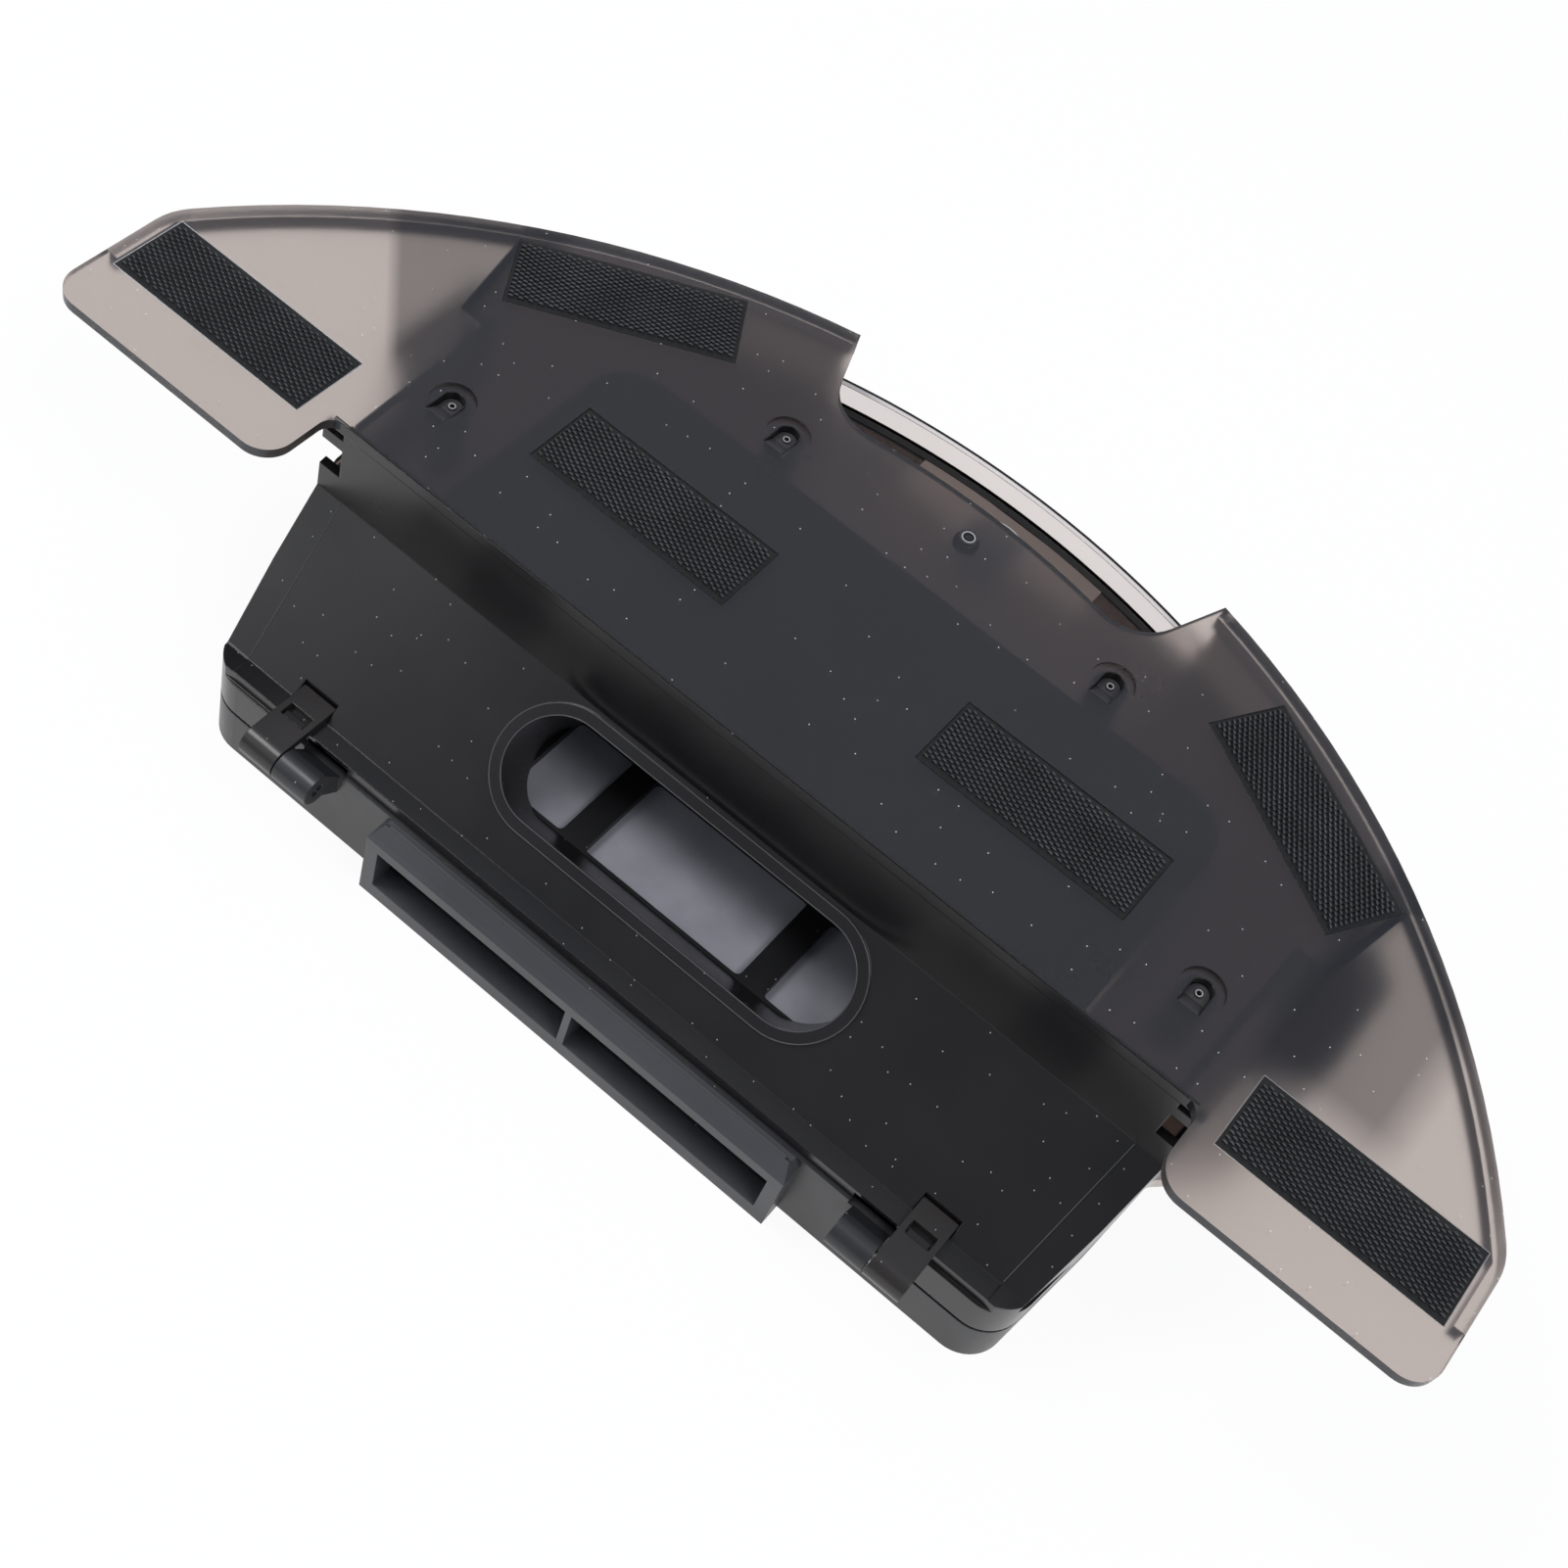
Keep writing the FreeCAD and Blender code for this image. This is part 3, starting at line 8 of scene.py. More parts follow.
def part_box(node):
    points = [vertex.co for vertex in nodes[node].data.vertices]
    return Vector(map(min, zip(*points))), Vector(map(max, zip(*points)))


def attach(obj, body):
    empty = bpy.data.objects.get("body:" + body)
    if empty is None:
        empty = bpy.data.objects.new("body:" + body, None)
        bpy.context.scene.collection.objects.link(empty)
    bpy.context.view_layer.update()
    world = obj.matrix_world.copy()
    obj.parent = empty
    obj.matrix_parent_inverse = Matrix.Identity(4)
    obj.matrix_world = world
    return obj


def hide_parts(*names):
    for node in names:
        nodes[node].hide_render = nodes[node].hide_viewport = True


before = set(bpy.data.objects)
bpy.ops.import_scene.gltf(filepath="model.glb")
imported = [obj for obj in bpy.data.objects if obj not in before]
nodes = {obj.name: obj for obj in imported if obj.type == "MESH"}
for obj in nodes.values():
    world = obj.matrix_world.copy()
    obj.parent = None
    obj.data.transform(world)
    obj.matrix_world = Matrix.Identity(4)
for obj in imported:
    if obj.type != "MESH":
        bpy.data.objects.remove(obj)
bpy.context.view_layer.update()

MM = 0.001
SIDES = ("left", "right")

# Places of the CAD part, in the frame's metres.
PLATE_TOP = 61.7 * MM
COVER_TOP = PLATE_TOP - 16.8 * MM
WALL_TOP = PLATE_TOP - 11.6 * MM
ROBOT_MIDDLE_Y = -97.9 * MM
PLATE_FRONT_Y = ROBOT_MIDDLE_Y + 70.8 * MM
BOX_HALF_WIDTH = 88.6 * MM

# The slanted face starts at the step's foot and falls forwards at about 42 degrees.
SLANT_TOP = PLATE_TOP - 19.1 * MM
SLANT_SINE = 0.671
SLANT_COSINE = 0.741

# The hook patches: their size, the tape's margin round them and their hooks' border and spacing.
PATCH_LENGTH = 41.0 * MM
PATCH_WIDTH = 14.72 * MM
PATCH_MARGIN = 0.3 * MM
PATCH_BORDER = 0.5 * MM
REAR_TURN = math.radians(29.83)
HOOK_ROW = 0.9 * MM
HOOK_PITCH = 1.04 * MM
HOOK_TURN = math.radians(-16)

# The tape's share of a patch's height, and the tallest hook's share of the height above the tape.
TAPE_SHARE = 0.3
HOOK_SHARE = 0.88

# The shortest hook against the tallest, a hook's lean against its height, and a row's shift by pitches.
SHORTEST_HOOK = 0.88
HOOK_LEAN = 0.06
ROW_SHIFT = 0.25

# Sockets of a Mix node: its two colours and their blend, and its two numbers and their blend.
FIRST_COLOUR, SECOND_COLOUR, MIXED_COLOUR = 6, 7, 2
FIRST_NUMBER, SECOND_NUMBER, MIXED_NUMBER = 2, 3, 0


def srgb(red, green, blue):
    """Colour of a surface from the 0 to 255 values that it shows."""
    values = []
    for channel in (red, green, blue):
        share = channel / 255
        values.append(share / 12.92 if share <= 0.04045 else ((share + 0.055) / 1.055) ** 2.4)
    return (*values, 1)


DUST = srgb(180, 180, 182)
DUST_ON_PLATE = srgb(240, 240, 240)
DUST_CELL = 4.3 * MM
DUST_SIZE = 0.09 * MM
DUST_SIZE_ON_PLATE = 0.1 * MM
# Painted shadow: the darker tone of the wings beside the tank.
WING_SHADOW_PAINT = srgb(136, 127, 123)
# Painted shade on the plate's upright faces.
PLATE_UPRIGHT_SHADE = srgb(84, 79, 79)
WALL_BESIDE_NOTCH = srgb(92, 84, 80)
NOTCH_HALF_WIDTH = 41 * MM
PLASTIC_IOR = 1.49

# The soft limits of the painted shadow on the wings beside the tank: each fades between its two places.
LEFT_LIMIT = (-102.6 * MM, -99.2 * MM)
LEFT_LIMIT_SLOPE = 0.893
RIGHT_LIMIT = (111.5 * MM, 118.5 * MM)
FRONT_LIMIT = (-18 * MM, -9 * MM)
TANK_LIMIT = (88 * MM, 92 * MM)


class Surface:
    """A material whose colour, roughness and relief come from procedural nodes."""

    def __init__(self, name, **values):
        self.material = bpy.data.materials.new(name)
        self.material.use_nodes = True
        self.tree = self.material.node_tree
        self.shader = self.tree.nodes["Principled BSDF"]
        self.coords = self.node("ShaderNodeTexCoord").outputs["Object"]
        self.relief = None
        for socket, value in values.items():
            self.shader.inputs[socket.replace("_", " ")].default_value = value

    def node(self, kind, **settings):
        """Adds a node and sets its properties."""
        made = self.tree.nodes.new(kind)
        for name, value in settings.items():
            setattr(made, name, value)
        return made

    def link(self, start, end):
        self.tree.links.new(start, end)

    def noise(self, scale, detail, stretch=None):
        """Grey cloud pattern. The scale is in features per metre."""
        made = self.node("ShaderNodeTexNoise")
        made.inputs["Scale"].default_value = scale
        made.inputs["Detail"].default_value = detail
        source = self.coords
        if stretch:
            mapping = self.node("ShaderNodeMapping")
            mapping.inputs["Scale"].default_value = stretch
            self.link(self.coords, mapping.inputs["Vector"])
            source = mapping.outputs["Vector"]
        self.link(source, made.inputs["Vector"])
        return made.outputs["Fac"]

    def spread(self, source, low, high, start=0.3, end=0.7):
        """Maps a pattern from start to end onto the values from low to high."""
        made = self.node("ShaderNodeMapRange")
        for socket, value in (("From Min", start), ("From Max", end), ("To Min", low), ("To Max", high)):
            made.inputs[socket].default_value = value
        self.link(source, made.inputs["Value"])
        return made.outputs["Result"]

    def clouds(self, scale, detail, low=0, high=1):
        """A cloud pattern between two values."""
        return self.spread(self.noise(scale, detail), low, high)

    def colours(self, source, first, second):
        """Blends two colours by a pattern."""
        made = self.node("ShaderNodeMix", data_type="RGBA")
        made.inputs[FIRST_COLOUR].default_value = first
        made.inputs[SECOND_COLOUR].default_value = second
        self.link(source, made.inputs["Factor"])
        return made.outputs[MIXED_COLOUR]

    def over(self, source, below, top):
        """Lays a colour over a pattern of colours where the source is 1."""
        made = self.node("ShaderNodeMix", data_type="RGBA")
        self.link(below, made.inputs[FIRST_COLOUR])
        made.inputs[SECOND_COLOUR].default_value = top
        self.link(source, made.inputs["Factor"])
        return made.outputs[MIXED_COLOUR]

    def math(self, operation, first, second):
        """A calculation with two sources or numbers."""
        made = self.node("ShaderNodeMath", operation=operation)
        for socket, source in zip(made.inputs, (first, second)):
            if isinstance(source, (int, float)):
                socket.default_value = source
            else:
                self.link(source, socket)
        return made.outputs[0]

    def split(self, vector):
        """The X, Y and Z parts of a vector."""
        made = self.node("ShaderNodeSeparateXYZ")
        self.link(vector, made.inputs["Vector"])
        return made.outputs

    def facing_up(self, low, high):
        """How far the surface faces up, from 0 at low to 1 at high."""
        upward = self.split(self.node("ShaderNodeTexCoord").outputs["Normal"])["Z"]
        return self.spread(upward, 0, 1, low, high)

    def specks(self, size, share):
        """Sparse tiny dots on faces that look up: dust on the plastic."""
        cells = self.node("ShaderNodeTexVoronoi", voronoi_dimensions="2D")
        cells.inputs["Scale"].default_value = 1 / DUST_CELL
        self.link(self.coords, cells.inputs["Vector"])
        near = self.math("LESS_THAN", cells.outputs["Distance"], size / DUST_CELL)
        channels = self.node("ShaderNodeSeparateColor")
        self.link(cells.outputs["Color"], channels.inputs["Color"])
        picked = self.math("LESS_THAN", channels.outputs["Red"], share)
        return self.math("MULTIPLY", self.math("MULTIPLY", near, picked), self.facing_up(0.4, 0.6))

    def painted_wing_shadow(self):
        """Where shadow is painted on the wings beside the tank, up to a slanted line left and a straight one
        right.
        """
        parts = self.split(self.coords)
        across, along = parts["X"], parts["Y"]
        slanted = self.math("ADD", across, self.math("MULTIPLY", along, LEFT_LIMIT_SLOPE))
        mask = self.spread(slanted, 0, 1, *LEFT_LIMIT)
        right_side = self.spread(across, 1, 0, *RIGHT_LIMIT)
        front_side = self.spread(along, 0, 1, *FRONT_LIMIT)
        tank_side = self.spread(self.math("ABSOLUTE", across, 0), 0, 1, *TANK_LIMIT)
        for side in (right_side, front_side, tank_side):
            mask = self.math("MULTIPLY", mask, side)
        return mask

    def soft_edges(self, radius):
        """Rounds the edges in the shading, so that they catch the light."""
        made = self.node("ShaderNodeBevel", samples=6)
        made.inputs["Radius"].default_value = radius
        self.relief = made.outputs["Normal"]
        self.link(self.relief, self.shader.inputs["Normal"])

    def bump(self, source, height):
        """Raises the surface by a pattern, on top of any relief before."""
        made = self.node("ShaderNodeBump")
        made.inputs["Strength"].default_value = 1
        made.inputs["Distance"].default_value = height
        self.link(source, made.inputs["Height"])
        if self.relief:
            self.link(self.relief, made.inputs["Normal"])
        self.relief = made.outputs["Normal"]
        self.link(self.relief, self.shader.inputs["Normal"])

    def paint(self, source):
        self.link(source, self.shader.inputs["Base Color"])

    def polish(self, source):
        self.link(source, self.shader.inputs["Roughness"])


def moulded(name, dark, light, rough, dust=0.3):
    """Opaque moulded plastic: cloudy shade, uneven gloss, soft edges, fine grain and a little dust."""
    surface = Surface(name)
    shade = surface.colours(surface.clouds(28, 4), dark, light)
    surface.paint(surface.over(surface.specks(DUST_SIZE, dust), shade, DUST))
    surface.polish(surface.clouds(90, 5, rough - 0.04, rough + 0.05))
    surface.soft_edges(0.25 * MM)
    surface.bump(surface.noise(2600, 2), 0.004 * MM)
    return surface.material


def smoked_box():
    """The dust box: glossy smoked plastic in a cloudy shade."""
    surface = Surface("smoked_box")
    shade = surface.colours(surface.clouds(22, 4), srgb(20, 19, 21), srgb(31, 29, 30))
    surface.paint(surface.over(surface.specks(DUST_SIZE, 0.4), shade, DUST))
    surface.polish(surface.clouds(60, 4, 0.2, 0.28))
    surface.soft_edges(0.3 * MM)
    surface.bump(surface.noise(2600, 2), 0.003 * MM)
    return surface.material


def smoked_plate():
    """The cloth plate: frosted smoked plastic with painted shadow on the wings beside the tank, painted shade
    on its upright faces and some dust on it.
    """
    surface = Surface(
        "smoked_plate", IOR=PLASTIC_IOR, Specular_IOR_Level=0.5, Specular_Tint=(0.7, 0.82, 1, 1))
    tint = surface.colours(surface.clouds(9, 3), srgb(194, 183, 178), srgb(203, 191, 185))
    # Painted shadow on the wings beside the tank.
    tint = surface.over(surface.painted_wing_shadow(), tint, WING_SHADOW_PAINT)
    # Painted shade: the plate's upright faces are darker.
    upright = surface.spread(surface.facing_up(0.15, 0.5), 1, 0, 0, 1)
    tint = surface.over(upright, tint, PLATE_UPRIGHT_SHADE)
    dust = surface.specks(DUST_SIZE_ON_PLATE, 0.25)
    surface.paint(surface.over(dust, tint, DUST_ON_PLATE))
    through = surface.spread(dust, 0.97, 0.1, 0, 1)
    surface.link(through, surface.shader.inputs["Transmission Weight"])
    surface.polish(surface.clouds(40, 4, 0.27, 0.32))
    surface.bump(surface.noise(1500, 2), 0.002 * MM)
    return surface.material


def see_through(name, first, second, rough, through=1.0):
    """Tinted transparent plastic."""
    surface = Surface(name, Transmission_Weight=through, IOR=PLASTIC_IOR)
    surface.paint(surface.colours(surface.clouds(16, 3), first, second))
    surface.polish(surface.clouds(70, 4, rough - 0.03, rough + 0.04))
    surface.bump(surface.noise(1500, 2), 0.002 * MM)
    return surface.material


def clear_wall():
    """The support frame: clear in the notch, smoky brown behind the plate."""
    surface = Surface("clear_wall", Transmission_Weight=1.0, IOR=PLASTIC_IOR)
    clear = surface.colours(surface.clouds(16, 3), srgb(228, 221, 219), srgb(233, 226, 224))
    from_middle = surface.math("ABSOLUTE", surface.split(surface.coords)["X"], 0)
    beside = surface.math("GREATER_THAN", from_middle, NOTCH_HALF_WIDTH)
    surface.paint(surface.over(beside, clear, WALL_BESIDE_NOTCH))
    surface.polish(surface.clouds(70, 4, 0.04, 0.1))
    surface.bump(surface.noise(1500, 2), 0.001 * MM)
    return surface.material


def rubber(name, dark, light, rough):
    """Soft rubber or tape: mottled shade, uneven sheen and a coarse grain."""
    surface = Surface(name)
    surface.paint(surface.colours(surface.clouds(120, 4), dark, light))
    surface.polish(surface.clouds(300, 3, rough - 0.08, rough + 0.08))
    surface.bump(surface.noise(1800, 3), 0.02 * MM)
    return surface.material


def brushed_steel():
    """The hinge pins: steel with fine streaks."""
    surface = Surface("pin_steel", Metallic=1.0)
    streaks = surface.noise(900, 3, stretch=(0.05, 1, 1))
    surface.paint(surface.colours(surface.spread(streaks, 0, 1), srgb(150, 150, 152), srgb(192, 192, 194)))
    surface.polish(surface.spread(streaks, 0.2, 0.36))
    surface.bump(streaks, 0.01 * MM)
    return surface.material


def filter_paper():
    """The filter's paper with its fibres."""
    surface = Surface("filter_paper")
    fibres = surface.noise(1400, 6)
    surface.paint(surface.colours(surface.spread(fibres, 0, 1), srgb(206, 204, 196), srgb(232, 230, 224)))
    surface.polish(surface.spread(fibres, 0.82, 0.96))
    surface.bump(fibres, 0.06 * MM)
    return surface.material


clip_black = moulded("clip_black", srgb(36, 33, 33), srgb(48, 44, 43), 0.28)
filter_black = moulded("filter_black", srgb(30, 30, 31), srgb(38, 38, 40), 0.45, dust=0.1)
gloss_black = moulded("gloss_black", srgb(14, 14, 14), srgb(22, 21, 21), 0.12, dust=0)
# Painted highlight: the pale rings on the vent valve, the drip holes and the filler ring.
painted_highlight_rim = moulded("painted_highlight_rim", srgb(176, 174, 173), srgb(196, 194, 193), 0.25, dust=0)
# Painted highlight: the bright top edge of the clear wall in the notch.
wall_edge_highlight = moulded("wall_edge_highlight", srgb(216, 209, 206), srgb(224, 217, 214), 0.3, dust=0)
# Painted highlight: the grey of the fine light lines along the dust box's edges.
painted_highlight_grey = moulded("painted_highlight_grey", srgb(74, 73, 74), srgb(88, 86, 86), 0.3, dust=0)
print_field = moulded("print_field", srgb(102, 90, 84), srgb(112, 99, 93), 0.45, dust=0)
bright_edge = see_through("bright_edge", srgb(238, 234, 232), srgb(244, 241, 239), 0.25, through=0.9)
nozzle_rubber = rubber("nozzle_rubber", srgb(48, 46, 48), srgb(58, 56, 58), 0.5)
seal_rubber = rubber("seal_rubber", srgb(24, 24, 25), srgb(34, 34, 35), 0.62)
# Dark joints, and painted shade along the plate's front edge.
seam_and_edge_shade_black = rubber("seam_and_edge_shade_black", srgb(16, 15, 15), srgb(26, 24, 24), 0.45)
tape_black = rubber("tape_black", srgb(8, 8, 9), srgb(15, 15, 16), 0.7)
# Painted highlight: the hooks are lighter than the tape, as their tops catch the light.
hook_highlight_grey = rubber("hook_highlight_grey", srgb(46, 46, 48), srgb(68, 68, 70), 0.45)
steel = brushed_steel()

WEARS = {
    "mop_plate": smoked_plate(),
    "support_frame": clear_wall(),
    "tank_body": see_through("brown_tank", srgb(122, 110, 105), srgb(132, 119, 113), 0.12),
    "tank_cover": see_through("brown_cover", srgb(108, 97, 93), srgb(117, 105, 100), 0.2),
    "tank_gasket": seal_rubber,
    "lid_seal": seal_rubber,
    "filler_plug": rubber("plug_rubber", srgb(30, 29, 30), srgb(44, 42, 43), 0.34),
    "vent_valve": nozzle_rubber,
    "dust_box": smoked_box(),
    "inlet_grid": moulded("grid_black", srgb(16, 16, 17), srgb(24, 24, 26), 0.36),
    "inlet_flap": rubber("flap_silicone", srgb(134, 134, 142), srgb(146, 146, 154), 0.4),
    "bin_lid": moulded("lid_black", srgb(36, 36, 38), srgb(46, 46, 49), 0.36),
    "outlet_frame": moulded("duct_grey", srgb(58, 58, 62), srgb(70, 70, 74), 0.42, dust=0.12),
    "filter_frame": filter_black,
    "air_filter": filter_paper(),
    "filter_screen": filter_black,
}
for side in SIDES:
    WEARS["hinge_clip_" + side] = clip_black
    WEARS["hinge_pin_" + side] = steel
    for place in ("outer", "inner"):
        WEARS["drip_nozzle_%s_%s" % (place, side)] = nozzle_rubber
    for place in ("front", "middle", "rear"):
        WEARS["hook_patch_%s_%s" % (place, side)] = tape_black
for name, material in WEARS.items():
    mesh = nodes[name].data
    mesh.materials.clear()
    mesh.materials.append(material)


def hook_shape():
    """One small hook in millimetres, with its height as 1: its stem rises, bends over and ends in a lip."""
    line = [(-0.46, 0.0), (-0.44, 0.5), (-0.28, 0.86), (0.06, 1.0), (0.36, 0.94), (0.52, 0.7)]
    half_thickness = [0.1, 0.09, 0.1, 0.1, 0.1, 0.06]
    half_width = [0.14, 0.15, 0.17, 0.18, 0.16, 0.12]
    cosine, sine = math.cos(HOOK_TURN), math.sin(HOOK_TURN)
    points = []
    for index, (along, up) in enumerate(line):
        before = line[max(index - 1, 0)]
        after = line[min(index + 1, len(line) - 1)]
        direction = Vector((after[0] - before[0], after[1] - before[1])).normalized()
        out = Vector((-direction.y, direction.x)) * half_thickness[index]
        for side, outward in ((-1, -1), (1, -1), (1, 1), (-1, 1)):
            x, y = along + out.x * outward, side * half_width[index]
            points.append((x * cosine - y * sine, x * sine + y * cosine, up + out.y * outward))
    faces = [(0, 1, 2, 3)]
    for index in range(len(line) - 1):
        low = index * 4
        for corner in range(4):
            after = (corner + 1) % 4
            faces.append((low + corner, low + 4 + corner, low + 4 + after, low + after))
    last = (len(line) - 1) * 4
    faces.append((last + 3, last + 2, last + 1, last))
    return np.array(points), faces


def hook_field(name, turn, seed):
    """The tape of one patch with its staggered rows of hooks, in place of the flat CAD patch."""
    low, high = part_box(name)
    middle = (low + high) / 2
    rng = np.random.default_rng(seed)
    shape, faces = hook_shape()
    base = low.z + (high.z - low.z) * TAPE_SHARE
    tallest = (high.z - base) * HOOK_SHARE
    rows = int((PATCH_LENGTH - PATCH_BORDER) / HOOK_ROW)
    columns = int((PATCH_WIDTH - PATCH_BORDER) / HOOK_PITCH)
    vertices, polygons = [], []
    for row in range(rows):
        shift = ROW_SHIFT if row % 2 else -ROW_SHIFT
        for column in range(columns):
            place = np.array((
                (row - (rows - 1) / 2) * HOOK_ROW,
                (column - (columns - 1) / 2 + shift) * HOOK_PITCH,
                0,
            ))
            scale = np.array((MM, MM, tallest * rng.uniform(SHORTEST_HOOK, 1.0)))
            leaning = shape.copy()
            leaning[:, 1] += leaning[:, 2] * rng.uniform(-HOOK_LEAN, HOOK_LEAN)
            first = len(vertices)
            vertices.extend(leaning * scale + place)
            polygons.extend(tuple(first + corner for corner in face) for face in faces)
    first = len(vertices)
    half_length, half_width = PATCH_LENGTH / 2 + PATCH_MARGIN, PATCH_WIDTH / 2 + PATCH_MARGIN
    for level in (low.z - base, 0):
        for across, up in ((-1, -1), (1, -1), (1, 1), (-1, 1)):
            vertices.append(np.array((across * half_length, up * half_width, level)))
    tape = [(3, 2, 1, 0), (4, 5, 6, 7)]
    tape += [(corner, (corner + 1) % 4, (corner + 1) % 4 + 4, corner + 4) for corner in range(4)]
    polygons.extend(tuple(first + corner for corner in face) for face in tape)
    mesh = bpy.data.meshes.new(name.replace("patch", "field"))
    mesh.from_pydata([tuple(vertex) for vertex in vertices], [], polygons)
    # Painted highlight: the hooks get a lighter grey than the black tape.
    mesh.materials.append(hook_highlight_grey)
    mesh.materials.append(tape_black)
    for polygon in mesh.polygons:
        polygon.material_index = 1 if polygon.vertices[0] >= first else 0
        polygon.use_smooth = polygon.vertices[0] < first
    mesh.transform(Matrix.Translation((middle.x, middle.y, base)) @ Matrix.Rotation(turn, 4, "Z"))
    piece = bpy.data.objects.new(name.replace("patch", "field"), mesh)
    bpy.context.collection.objects.link(piece)
    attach(piece, "tank")
    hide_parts(name)


for seed, (place, turn) in enumerate((("front", 0), ("middle", 0), ("rear", REAR_TURN))):
    hook_field("hook_patch_%s_right" % place, -turn, 2 * seed)
    hook_field("hook_patch_%s_left" % place, turn, 2 * seed + 1)


def add_piece(name, vertices, faces, material, body, smooth=False):
    """A new visible piece that rides on a body."""
    mesh = bpy.data.meshes.new(name)
    mesh.from_pydata([tuple(vertex) for vertex in vertices], [], faces)
    mesh.materials.append(material)
    for polygon in mesh.polygons:
        polygon.use_smooth = smooth
    piece = bpy.data.objects.new(name, mesh)
    bpy.context.collection.objects.link(piece)
    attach(piece, body)


def band(inner, outer, low, high, closed=True):
    """A flat band between two lines of the same number of points, from low to high."""
    count = len(inner)
    vertices = []
    for line in (inner, outer):
        for level in (low, high):
            vertices.extend((x, y, level) for x, y in line)
    faces = []
    for index in range(count if closed else count - 1):
        after = (index + 1) % count
        faces.append((index + count, after + count, after + 3 * count, index + 3 * count))
        faces.append((index, index + 2 * count, after + 2 * count, after))
        faces.append((index, after, after + count, index + count))
        faces.append((index + 2 * count, index + 3 * count, after + 3 * count, after + 2 * count))
    if not closed:
        end = count - 1
        faces.append((0, count, 3 * count, 2 * count))
        faces.append((end, end + 2 * count, end + 3 * count, end + count))
    return vertices, faces


def tube_faces(steps, around, closed):
    """The faces of a tube whose points go round each step in turn."""
    faces = []
    for step in range(steps if closed else steps - 1):
        here, after = step * around, (step + 1) % steps * around
        for part in range(around):
            beside = (part + 1) % around
            faces.append((here + part, after + part, after + beside, here + beside))
    return faces


def bead(name, middle, level, radius, thick, material, body, slot):
    """A fine round bead that lies in a circle."""
    steps, around = 48, 10
    vertices = []
    for step in range(steps):
        angle = 2 * math.pi * step / steps
        for part in range(around):
            turn = 2 * math.pi * part / around
            reach = radius + thick * math.cos(turn)
            vertices.append((
                middle[0] + reach * math.cos(angle),
                middle[1] + reach * math.sin(angle),
                level + thick * math.sin(turn),
            ))
    add_piece(name, vertices, tube_faces(steps, around, True), material, body, True)


def disc(name, middle, level, radius, depth, material, body, slot):
    """A thin round plate."""
    count = 32
    turns = [2 * math.pi * step / count for step in range(count)]
    vertices = [(middle[0] + radius * math.cos(turn), middle[1] + radius * math.sin(turn), level - drop)
                for drop in (0, depth) for turn in turns]
    faces = [tuple(range(count)), tuple(range(2 * count - 1, count - 1, -1))]
    for step in range(count):
        after = (step + 1) % count
        faces.append((step, step + count, after + count, after))
    add_piece(name, vertices, faces, material, body)


def on_slant(along, down, up):
    """A point of the slanted face: along its width, down from the step's foot and above its surface."""
    return (
        along,
        PLATE_FRONT_Y - SLANT_COSINE * down - SLANT_SINE * up,
        SLANT_TOP - SLANT_SINE * down + SLANT_COSINE * up,
    )


def highlight_rod(name, points, thick, closed):
    """A fine raised grey line on the dust box through the given points of the slanted face, as a painted
    highlight along an edge.
    """
    around, count = 6, len(points)
    vertices = []
    for index, (along, down, up) in enumerate(points):
        before = points[index - 1] if closed or index else points[index]
        after = points[(index + 1) % count] if closed or index < count - 1 else points[index]
        ahead = Vector((after[0] - before[0], after[1] - before[1])).normalized()
        for part in range(around):
            turn = 2 * math.pi * part / around
            side, rise = thick * math.cos(turn), thick * math.sin(turn)
            vertices.append(on_slant(along - ahead.y * side, down + ahead.x * side, up + rise))
    add_piece(name, vertices, tube_faces(count, around, closed), painted_highlight_grey, "tank", True)


def middle_and_corner(name):
    """The middle and the upper corner of a CAD node's box."""
    low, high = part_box(name)
    return (low + high) / 2, high


def rear_arc(radius, half_turn):
    """Points along the round rear edge, from left to right."""
    turns = [math.radians(turn) for turn in np.linspace(-half_turn, half_turn, 40)]
    return [(radius * math.sin(turn), ROBOT_MIDDLE_Y + radius * math.cos(turn)) for turn in turns]


def patch_rims():
    """The fine band round each hook patch: bright on the wings, and over the tank a glossy black band as
    painted shade for the gap round the patch.
    """
    inner, outer = PATCH_MARGIN + 0.06 * MM, PATCH_MARGIN + 0.2 * MM
    low, high = PLATE_TOP - 0.02 * MM, PLATE_TOP + 0.04 * MM
    # Painted shade: the black bands over the tank stand for the shadow gap round the patches.
    for place, turn, edge in (
            ("front", 0, bright_edge), ("middle", 0, gloss_black), ("rear", REAR_TURN, gloss_black)):
        for side, sign in (("right", -1), ("left", 1)):
            name = "%s_%s" % (place, side)
            middle, _ = middle_and_corner("hook_patch_" + name)
            cosine, sine = math.cos(sign * turn), math.sin(sign * turn)
            lines = []
            for margin in (inner, outer):
                half_x, half_y = PATCH_LENGTH / 2 + margin, PATCH_WIDTH / 2 + margin
                corners = [(-half_x, -half_y), (half_x, -half_y), (half_x, half_y), (-half_x, half_y)]
                lines.append([
                    (middle.x + x * cosine - y * sine, middle.y + x * sine + y * cosine) for x, y in corners])
            vertices, faces = band(lines[0], lines[1], low, high)
            add_piece("patch_rim_" + name, vertices, faces, edge, "tank")


def plug_rims():
    """The two glossy beads on the filler plug's head."""
    middle, corner = middle_and_corner("filler_plug")
    for name, drop, radius, thick in (("plug_rim", 0.1, 4.55, 0.42), ("plug_ring", 0.05, 3.5, 0.2)):
        level = corner.z - drop * MM
        bead(name, middle, level, radius * MM, thick * MM, gloss_black, "plug", "plug_rubber")


